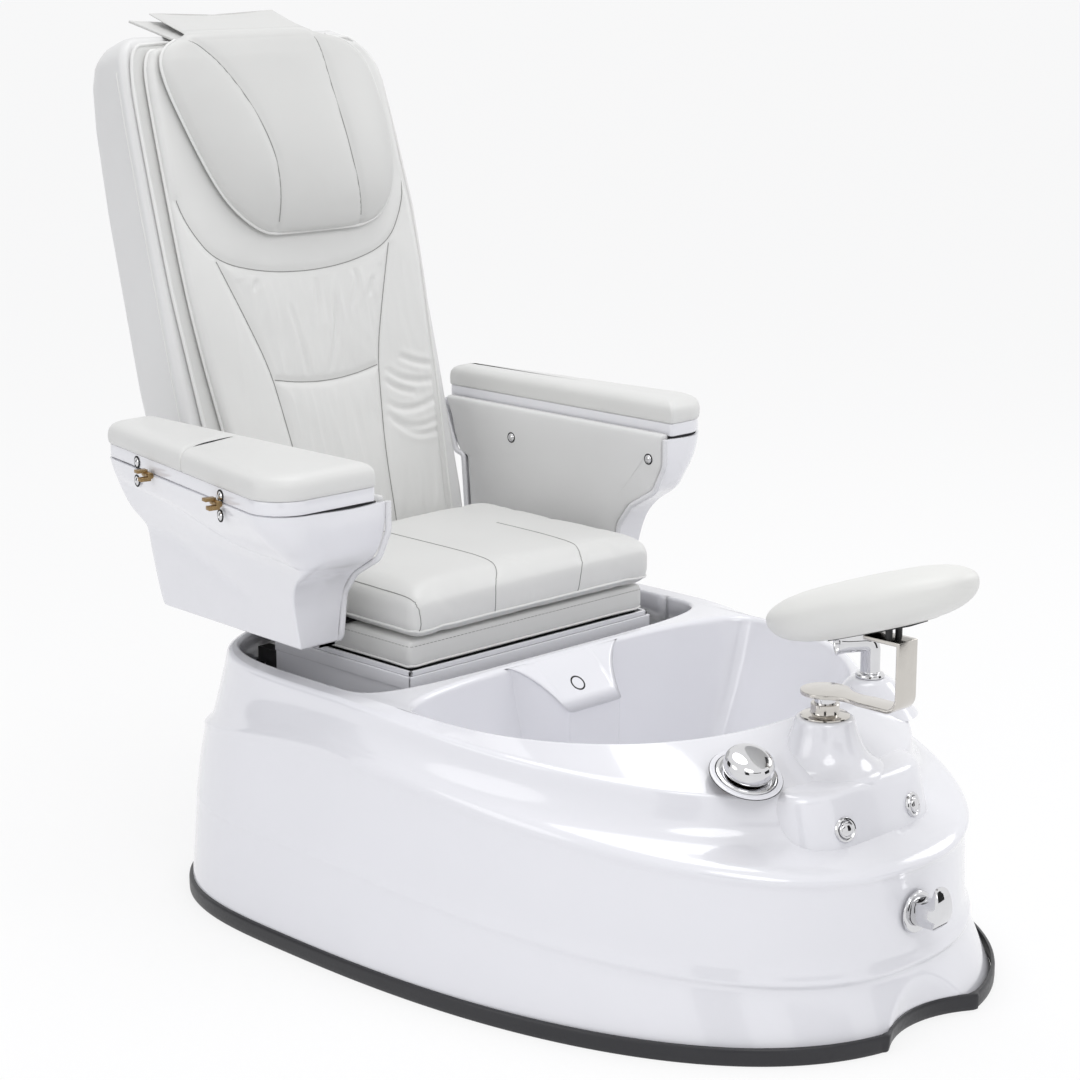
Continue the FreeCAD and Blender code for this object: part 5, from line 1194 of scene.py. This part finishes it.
def makeArmBead(side):
    # white edging between shell and panel, down the front, along the foot and up the rear
    line = armSide(side, -1.2, 10)
    line = line[line[:, 1] < armShape["top"] - 1.5]
    gaps = np.linalg.norm(np.diff(line, axis=0), axis=1)
    if gaps.max() > 200:
        start = np.argmax(gaps) + 1
        line = np.concatenate([line[start:], line[:start]])
    path = resampled(np.column_stack([np.full(len(line), armShape["bead"]), line]), 260)
    bead = tube("armBead" + side.title(), sideways(path, side), armShape["beadRadius"], "bead", 12)
    mounted(bead, "seat", ["arm_bead_" + side])


def makeArmPanel(side):
    # padded board with a raised strip along its top
    t = armShape
    rings = []
    for inset, x in t["panel"]:
        line = armSide(side, inset)
        line[:, 1] += np.where(line[:, 1] > t["top"] - t["strip"], t["stripLift"] - inset * 0.1, 0)
        rings.append(sideways(np.column_stack([np.full(len(line), float(x)), line]), side))
    panel = ringSkin("armPanel" + side.title(), rings, "sideLeather", flatCaps=True)
    mounted(panel, "seat", ["arm_panel_" + side])


padShape = {
    # inset and rise of each layer of a lid and of a pad, and the level each starts from
    "lid": [(3.5, 0), (1.6, 0.4), (1, 1.8), (1, 10), (1, 19.4), (1.6, 20.8), (3, 21)], "lidBase": 691.5,
    "pad": [(3, 0), (0.6, 0.8), (-0.8, 3), (-1.5, 8), (-1.6, 14), (-1.0, 20), (0.6, 25.5), (3.4, 30), (7.4, 33.2),
            (12.5, 35.6), (20, 37.2), (30, 38)], "padBase": 712.5,
    # the slit in the right pad: depth of its inner and outer end, and inset against half its width
    "split": (234, 212), "slit": ([0, 0.6, 3.4, 7.4, 12.5, 20, 30], [0.4, 1, 1.6, 3, 5, 8, 12]),
    # painted shade in the slit: a dark strip, which dips away at both ends
    "joint": (-345, 235), "slitShadeRun": (-112, -19), "slitShadeRise": 35.2, "slitShadeDip": 5, "slitShadeRadius": 2.6,
}


def lidCorners(inset, side):
    # plan outline of a lid, and of a pad in one piece
    drawn = max(inset, 0)
    return armRow(side, armShape["stations"][-1], inset, armShape[side]["lidInner"] + drawn * 0.8, 5 + drawn * 0.2)


def outerEdge(side, depth):
    # distance of the lid's outer side from the middle at a depth
    size = armShape[side]
    share = (depth - size["front"]) / (size["rear"] - size["front"])
    return size["topFront"] + (size["topRear"] - size["topFront"]) * share


def halfCorners(inset, part):
    # plan outline of the right pad's part behind or before the slit, which is closed at the side, open from above
    size, drawn = armShape["right"], max(inset, 0)
    by = np.interp(inset, *padShape["slit"]) * (2 if part == "rear" else -0.5)
    inner, outer = (depth + by for depth in padShape["split"])
    near = size["lidInner"] + drawn * 0.8
    cut = [(-near, inner, 3), (-(outerEdge("right", outer) - inset), outer, 3.5)]
    if part == "rear":
        rear = size["rear"] - inset
        return [(-near, rear, 5 + drawn * 0.2), (-(size["topRear"] - inset), rear, 16)] + cut[::-1]
    front = size["front"] + inset
    return cut + [(-(size["topFront"] - inset), front, 56 - inset / 2), (-near, front, 7 + drawn * 0.2)]


def makeLayered(name, kind, corners, part, side, look):
    base = padShape[kind + "Base"]
    rings = [sideways(planRing(corners(inset, part), base + lift), side) for inset, lift in padShape[kind]]
    return ringSkin(name, rings, look)


def makeArmPads():
    t = padShape
    left = makeLayered("armPadLeft", "pad", lidCorners, "left", "left", "leather")
    mounted(left, "lid_left", ["arm_pad_left"])
    for part in ("rear", "front"):
        pad = makeLayered("armPad%sRight" % part.title(), "pad", halfCorners, part, "right", "leather")
        mounted(pad, "lid_right", ["arm_pad_%s_right" % part])
    # a dark strip down in the slit paints the shade there
    share = np.linspace(0, 1, 24)
    joint = np.column_stack([start + run * share for start, run in zip(t["joint"], t["slitShadeRun"])] +
                            [t["padBase"] + t["slitShadeRise"] - t["slitShadeDip"] * (2 * np.abs(share - 0.5)) ** 4])
    mounted(tube("armPadJoint", joint, t["slitShadeRadius"], "gap", 10), "lid_right")


for armName in ("right", "left"):
    makeArmShell(armName)
    makeArmBead(armName)
    makeArmPanel(armName)
    armLid = makeLayered("armLid" + armName.title(), "lid", lidCorners, armName, armName, "armGel")
    mounted(armLid, "lid_" + armName, ["arm_lid_" + armName])
makeArmPads()
print("arms made")
# Fittings: turned and bent metalwork on the tub, and the hinges and studs of the arms

def refined(name, nodeName, look, body, width=0.9, angle=30):
    # a copy of the drawn piece with its doubles merged and its edges broken
    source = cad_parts[nodeName]
    piece = source.copy()
    piece.data = source.data.copy()
    piece.name = name
    bpy.context.scene.collection.objects.link(piece)
    inEditMode(piece, (bpy.ops.mesh.remove_doubles, {"threshold": 0.00002}),
               (bpy.ops.mesh.dissolve_limited, {"angle_limit": math.radians(1.0)}), facingOut)
    applied(piece, "BEVEL", width=width / 1000, segments=3, limit_method="ANGLE", angle_limit=math.radians(angle))
    bpy.ops.object.shade_smooth_by_angle(angle=math.radians(40))
    mounted(painted(piece, look), body, [nodeName])


def collar(inner, outer, foot, rim, crest):
    # section of a flat ring
    return [(inner, foot), (outer, foot), (outer, rim), (inner, crest), (inner, foot)]


# outlines as (radius, height), places in chair coordinates
fittingShape = {
    "socket": [(15.7, 2), (20.5, 2), (20.5, 0.2), (35.5, 0.2), (36, 1), (35.6, 2.6), (33, 4.2), (26, 5), (21.6, 6),
               (20.8, 8), (20.8, 19.4), (20, 20.4), (15.7, 20.4), (15.7, 2)], "socketPlace": (0, -651, 417),
    "leverRing": [(19.6, 0.2), (30, 0.2), (31, 1.2), (31, 3.2), (29.6, 5.2), (26, 6), (22.5, 5.4), (19.6, 4.6),
                  (19.6, 0.2)], "leverPlace": (0, -823, 169),
    "bezel": [(13, 0.4), (17.6, 0.4), (18.5, 1.6), (18.3, 4), (16.8, 6.2), (14.8, 6.6), (13.3, 5.6), (13, 4),
              (13, 0.4)],
    "bezelRim": collar(18, 20.5, -2, 0.6, 0.9),
    "button": [(0.02, 1), (12.3, 1), (12.3, 7), (11.4, 8.4), (9.8, 8.8), (9.2, 8.2), (8.6, 8.7), (5, 9.4),
               (0.02, 9.6)],
    "stud": [(0.02, -1), (7.4, -1), (7.4, 0.4), (6.6, 1.6), (4.4, 3.2), (2, 3.9), (0.02, 4)],
    "studShadeRing": collar(7.2, 9.4, -1, 0.3, 0.8), "studSpots": [(316, 643), (-11, 652)], "studWall": 312.6,
    "screw": [(0.02, 0), (7.2, 0), (7.2, 0.8), (6.2, 1.6), (5.6, 1.2), (5.2, 1.6), (3, 2.8), (0.02, 3.2)],
    "screwShadeRing": collar(7, 9.8, -0.4, 0.5, 0.9), "screwDepths": (84, 371),
    "badge": [(0.02, -2), (13, -2), (13, 0.5), (11.2, 0.9), (10.4, 0.4), (0.02, 0.7)],
    "badgeShadeRim": [(10.6, -1), (13.4, -1), (13.4, 0.9), (12, 1.2), (10.6, 0.9), (10.6, -1)],
    "badgePlace": (-8, -164, 364.6),
}
mixerShape = {
    "place": (-172, -653, 369), "turn": turnOf(("Z", -18), ("X", 24)),
    "plate": [(45, 0.3), (52, 0.3), (52.2, 1.4), (51.4, 2.6), (49.6, 3), (45, 3), (45, 0.3)],
    "ring": [(31, 1), (43.4, 1), (44, 2.4), (43.2, 4.4), (40.4, 5.6), (38.4, 5.2), (31, 5.2), (31, 1)],
    # a dark ring of painted shade that shows round the plate's edges
    "gap": collar(43, 52.9, 0.1, 0.5, 0.5),
    "knob": [(0.02, 7), (30, 7), (34.2, 8.2), (35.8, 11), (36.2, 16), (36, 22), (34.8, 27), (31.8, 31.4), (27, 34.4),
             (20, 36.4), (12, 37.4), (5, 37.8), (0.02, 37.9)],
    "mark": [(0.02, 0), (3.4, 0), (3.4, 0.5), (0.02, 0.6)], "markPlace": (0, -33.5, 24), "markAt": 62, "markTilt": 66,
}


def makeMixer():
    t = mixerShape
    parts = [turnedPiece("mixerPlate", t[part], t["place"], t["turn"], look, 96)
             for part, look in (("plate", "gel"), ("ring", "chrome"), ("gap", "gap"))]
    mounted(joined("mixerPlate", parts), "base", ["mixer_escutcheon"])
    knob = turnedPiece("mixerKnob", curved(t["knob"], 1), t["place"], t["turn"], "chrome", 96, 60)
    markTurn = t["turn"] @ turnOf(("Z", t["markAt"]))
    markPlace = np.array(t["place"]) + np.array(markTurn @ Vector(t["markPlace"]))
    mark = turnedPiece("knobMark", t["mark"], markPlace, markTurn @ turnOf(("X", t["markTilt"])), "gap", 24)
    mounted(joined("mixerKnob", [knob, mark]), "mixer_handle", ["mixer_knob"])


def makeLegRestPost():
    t = fittingShape
    socket = turnedPiece("footrestSocket", t["socket"], t["socketPlace"], upright, "nickel", 72)
    mounted(socket, "base", ["footrest_socket"])
    refined("footrestBracket", "footrest_bracket", "nickel", "footrest", 1.0)


spoutShape = {
    "place": (232, -549, 406), "towards": (-0.8, 0.6, 0), "across": (0.6, 0.8, 0),
    "flange": [(12.7, 1), (21, 0.2), (22, 1), (22, 4), (20.6, 6.4), (17, 7.4), (14, 7.6), (12.7, 7.2), (12.7, 1)],
    "stem": [(0.02, -50), (12.5, -50), (12.5, 14), (0.02, 14)],
    # the bend's middle line: towards the basin, and up
    "line": [(0, 8), (0, 24), (0, 56), (32, 55), (54, 55)],
    # share of the length, radius
    "radii": [(0, 16.4), (0.08, 15), (0.5, 15), (0.78, 16), (0.97, 19.4), (1, 19)],
    # the mouth's inside: share of the radius, how far in
    "mouth": [(0.9, 0), (0.84, 3), (0.7, 9), (0.6, 18)], "sides": 40,
}


def makeSpout():
    t = spoutShape
    flange = turnedPiece("spoutFlange", t["flange"], t["place"], upright, "chrome", 64)
    mounted(flange, "base", ["spout_flange"])
    toBasin, side = np.array(t["towards"]), np.array(t["across"])
    line = np.array(curved([np.array(t["place"]) + toBasin * out + (0, 0, up) for out, up in t["line"]], 4))
    radii = np.interp(np.linspace(0, 1, len(line)), *zip(*t["radii"]))
    turns = np.linspace(0, 2 * math.pi, t["sides"], endpoint=False)
    rings = []
    for index, centre in enumerate(line):
        up = np.cross(side, unit(line[min(index + 1, len(line) - 1)] - line[max(index - 1, 0)]))
        rings.append(centre + radii[index] * (np.cos(turns)[:, None] * side + np.sin(turns)[:, None] * up))
    rings += [line[-1] + (rings[-1] - line[-1]) * share - toBasin * sink for share, sink in t["mouth"]]
    spout = ringSkin("fillerSpout", rings, "chrome")
    pipe = turnedPiece("spoutStem", t["stem"], t["place"], upright, "chrome", 40)
    mounted(joined("fillerSpout", [spout, pipe]), "filler_spout", ["spout"])


def makeButtonCaps():
    t = fittingShape
    bezels = []
    for sign, side in ((-1, "right"), (1, "left")):
        turn, place = turnOf(("Z", sign * 12), ("X", 76)), (sign * 76, -751, 290)
        cap = turnedPiece("pushButton" + side.title(), t["button"], place, turn, "chrome", 56)
        mounted(cap, "button_" + side, ["push_button_" + side])
        # the bezel, and the rim of the dimple in the panel round it
        bezels += [turnedPiece("bezel", t["bezel"], place, turn, "chrome", 64),
                   turnedPiece("bezel", t["bezelRim"], place, turn, "gel", 64)]
    mounted(joined("buttonBezels", bezels), "base", ["button_bezels"])


def makeDrainLever():
    t = fittingShape
    ring = turnedPiece("leverRing", t["leverRing"], t["leverPlace"], turnOf(("X", 90)), "chrome", 72)
    mounted(ring, "base", ["drain_escutcheon"])
    refined("drainLever", "drain_knob", "chrome", "drain_handle", angle=40)


footPadShape = {
    "place": (0, -727, 598), "lean": -19, "half": (98, 176), "thick": 74, "blunt": 2.1, "sides": 144,
    # height as a share of the thickness, and share of the outline
    "layers": [(-0.5, 0.50), (-0.49, 0.60), (-0.46, 0.70), (-0.40, 0.80), (-0.32, 0.88), (-0.22, 0.945),
               (-0.1, 0.985), (0.02, 1.0), (0.12, 0.995), (0.22, 0.96), (0.32, 0.88), (0.40, 0.77), (0.45, 0.64),
               (0.48, 0.48), (0.495, 0.3)],
}


def makeFootPad():
    t = footPadShape
    turn = turnOf(("X", t["lean"]))
    turns = np.linspace(0, 2 * math.pi, t["sides"], endpoint=False)
    rings = []
    for lift, wide in curved(t["layers"], 1):
        x, y = (half * wide * signed(wave(turns), 2 / t["blunt"]) for half, wave in zip(t["half"], (np.cos, np.sin)))
        flat = np.column_stack([x, y, np.full(len(turns), t["thick"] * lift)])
        rings.append(np.array([tuple(turn @ Vector(point)) for point in flat]) + t["place"])
    pad = ringSkin("footrestPadCover", rings, "padLeather")
    mounted(pad, "footrest", ["footrest_pad"])
    mounted(tube("footrestPadSeam", rings[2][::4], 1.1, "padLeather", 8, True), "footrest")


def makeScrews(side):
    # screw heads of the hinge leaves, on the lid and on the shell, each with a dark ring of painted shade round it
    t, size = fittingShape, armShape[side]
    run = unit(np.array([size["topRear"] - size["topFront"], size["front"] - size["rear"], 0.0]))
    out = np.array([run[1], -run[0], 0.0])
    turn = Matrix((tuple(run), (0, 0, 1), tuple(out))).transposed()
    for kind, body, height, sink in (("lid", "lid_" + side, 700.5, 0.3), ("shell", "seat", 671, -0.4)):
        heads = []
        for depth in t["screwDepths"]:
            spot = np.array([-outerEdge(side, depth), depth, height]) - out * sink
            heads += [turnedPiece("screw", t["screw"], spot, turn, "chrome", 32),
                      turnedPiece("screw", t["screwShadeRing"], spot, turn, "gap", 32)]
        for head in heads:
            putPoints(head, metres(sideways(pointsOf(head) * 1000 - rowShift, side)))
            inEditMode(head, facingOut)
        mounted(joined(kind + "Screws" + side.title(), heads), body)


def makeStuds():
    # domed studs of the side panels, each with a dark ring of painted shade round it
    t = fittingShape
    studs = []
    for sign in (-1, 1):
        turn = turnOf(("Y", -90 * sign))
        for depth, height in t["studSpots"]:
            spot = (sign * t["studWall"], depth, height)
            studs += [turnedPiece("stud", t["stud"], spot, turn, "chrome", 36),
                      turnedPiece("stud", t["studShadeRing"], spot, turn, "gap", 36)]
    mounted(joined("armStuds", studs), "seat", ["arm_studs"])


def makeBadge():
    # plain oval badge on the ledge between the foot wells, with a dark rim of painted shade round it
    t = fittingShape
    turn = turnOf(("X", math.degrees(math.atan(ledgeShape["slope"]))))
    parts = [turnedPiece("ledgeBadge", t[part], t["badgePlace"], turn, look, 48)
             for part, look in (("badge", "emblem"), ("badgeShadeRim", "gap"))]
    mounted(joined("ledgeBadge", parts), "base")


# half width outside and inside, front, the front board's rear face, rear end, low and high level, edge
skirtShape = {
    "pedestalBand": (266.5, 264, -61.5, -59, 262, 384, 404.3, 0.8),
    "cushionSkirt": (262, 257, -58.5, -54, 285, 404.9, 412, 0.5),
}


def makeSkirt(name, body):
    outer, inner, front, back, rear, low, high, edge = skirtShape[name]
    spans = [((-outer, front, low), (outer, back, high)), ((-outer, front, low), (-inner, rear, high)),
             ((inner, front, low), (outer, rear, high))]
    mounted(joined(name, [block(name, *span, "armGel", edge) for span in spans]), body)


makeMixer()
makeLegRestPost()
makeSpout()
makeButtonCaps()
makeDrainLever()
makeFootPad()
makeScrews("right")
makeScrews("left")
makeStuds()
for hinge, drawn, ridden in (("lidKnucklesRight", "lid_knuckles_right", "lid_right"),
                             ("lidKnucklesLeft", "lid_knuckles_left", "lid_left"),
                             ("lidHinges", "lid_hinges", "seat")):
    refined(hinge, drawn, "brass", ridden)
makeBadge()
makeSkirt("pedestalBand", "base")
makeSkirt("cushionSkirt", "seat")
print("fittings made")


# Stand, light and camera

photoView = {"azimuth": -44.60, "elevation": 13.36, "place": (-2781.7, -2893.2, 1517.7), "lens": 86.67}


def makeCamera():
    t = photoView
    a, e = math.radians(t["azimuth"]), math.radians(t["elevation"])
    back = Vector((math.sin(a) * math.cos(e), -math.cos(a) * math.cos(e), math.sin(e)))
    right = Vector((math.cos(a), math.sin(a), 0))
    up = back.cross(right)
    camera = linked("photoCamera", bpy.data.cameras.new("photoCamera"))
    camera.data.lens, camera.data.sensor_width = t["lens"], 36
    camera.data.clip_start, camera.data.clip_end = 0.05, 60
    camera.matrix_world = Matrix.Translation(spotOf(t["place"])) @ Matrix((right, up, back)).transposed().to_4x4()
    bpy.context.scene.camera = camera


studio = {
    "floorTint": (0.93, 0.93, 0.935), "floorShown": 0.8, "world": 0.7, "worldTint": (0.97, 0.975, 1, 1),
    # name, place, aim, size and power of each soft lamp
    "lamps": [
        ("keyLamp", (-1.6, -3.0, 3.4), (0, 0, 0.5), 2.0, 36),
        ("sideLamp", (-4.0, 0.6, 2.0), (0, 0, 0.7), 2.0, 16),
        ("farLamp", (3.4, -1.2, 2.4), (0, 0, 0.5), 1.6, 18),
        ("topLamp", (0.3, 0.2, 4.2), (0, 0, 0), 2.4, 40),
    ],
    # name, place, width and height of dark boards that only reflections show
    "boards": [("leftBoard", (-4.6, -4.4, 1.2), 1.8, 3.4), ("rightBoard", (3.4, -5.2, 1.0), 2.4, 3.2),
               ("frontBoard", (-0.6, -6.4, 3.0), 3.4, 0.9), ("rearBoard", (-3.0, 3.6, 1.6), 2.4, 2.6)],
    "boardAim": (0, 0, 0.6),
}


def shownRays(look):
    # 1 for what the camera, a reflection or a glass sees
    rays = node(look, "ShaderNodeLightPath")
    seen, socket = rays, "Is Camera Ray"
    for other in ("Is Glossy Ray", "Is Transmission Ray"):
        either = node(look, "ShaderNodeMath")
        either.operation = "MAXIMUM"
        wire(look, seen, either, 0, socket)
        wire(look, rays, either, 1, other)
        seen, socket = either, 0
    return seen


def mixedOutput(look, share, plain, shown, output):
    mix = node(look, "ShaderNodeMixShader")
    wire(look, share, mix, "Fac")
    wire(look, plain, mix, 1)
    wire(look, shown, mix, 2)
    wire(look, mix, look.node_tree.nodes[output], "Surface")


def aimed(place, aim, axis):
    return (Vector(aim) - Vector(place)).to_track_quat(axis, "Y").to_euler()


def makeFloor():
    clear()
    bpy.ops.mesh.primitive_plane_add(size=400)
    floor = bpy.context.object
    floor.name = "studioFloor"
    paint = plainLook("paleFloor", studio["floorTint"], 0.7)
    share = node(paint, "ShaderNodeMath")
    share.operation = "MULTIPLY"
    share.inputs[1].default_value = studio["floorShown"]
    wire(paint, shownRays(paint), share, 0)
    mixedOutput(paint, share, shaderOf(paint), node(paint, "ShaderNodeEmission"), "Material Output")
    floor.data.materials.append(paint)


def makeBoards():
    for name, place, width, height in studio["boards"]:
        clear()
        bpy.ops.mesh.primitive_plane_add(size=1, location=place)
        board = bpy.context.object
        board.name = name
        board.scale = (width, height, 1)
        board.rotation_euler = aimed(place, studio["boardAim"], "Z")
        board.data.materials.append(plainLook(name + "Paint", (0.02, 0.02, 0.02), 0.9))
        board.visible_camera = board.visible_diffuse = board.visible_shadow = False


def makeStudio():
    makeFloor()
    makeBoards()
    world = bpy.data.worlds.new("studioWorld")
    bpy.context.scene.world = world
    world.use_nodes = True
    ground = world.node_tree.nodes["Background"]
    ground.inputs["Color"].default_value = studio["worldTint"]
    ground.inputs["Strength"].default_value = studio["world"]
    seen = node(world, "ShaderNodeBackground", Color=(1, 1, 1, 1), Strength=1)
    mixedOutput(world, shownRays(world), ground, seen, "World Output")
    for name, place, aim, size, power in studio["lamps"]:
        lamp = linked(name, bpy.data.lights.new(name, "AREA"))
        lamp.data.shape, lamp.data.size, lamp.data.energy = "DISK", size, power
        lamp.location = place
        lamp.rotation_euler = aimed(place, aim, "-Z")


# finishes of the structure that shows as it was drawn, by node or else by slot
nodeLooks = {
    "pedestal": "armGel", "arm_tray_right": "plastic", "arm_tray_left": "plastic", "supply_hoses": "braid",
    "water_inlets": "chrome", "pad_cradle": "black",
}
slotLooks = {
    "frame_black": "black", "steel_polished": "steel", "chrome": "chrome", "hinge_brass": "brass",
    "plastic_black": "plastic", "plastic_white": "pipe", "pipe_grey": "pipe", "shell_gloss": "armGel",
    "upholstery": "leather", "trim_rubber": "rubber",
}


def dressNodes():
    for name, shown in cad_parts.items():
        slot = shown.data.materials[0].name.split(".")[0] if shown.data.materials else ""
        painted(shown, nodeLooks.get(name) or slotLooks.get(slot, "steel"))
        shown.data.shade_smooth()
        shown.data.set_sharp_from_angle(angle=math.radians(32))


dressNodes()
makeCamera()
makeStudio()
bpy.context.scene.view_settings.view_transform = "Standard"
print("stand and light made")
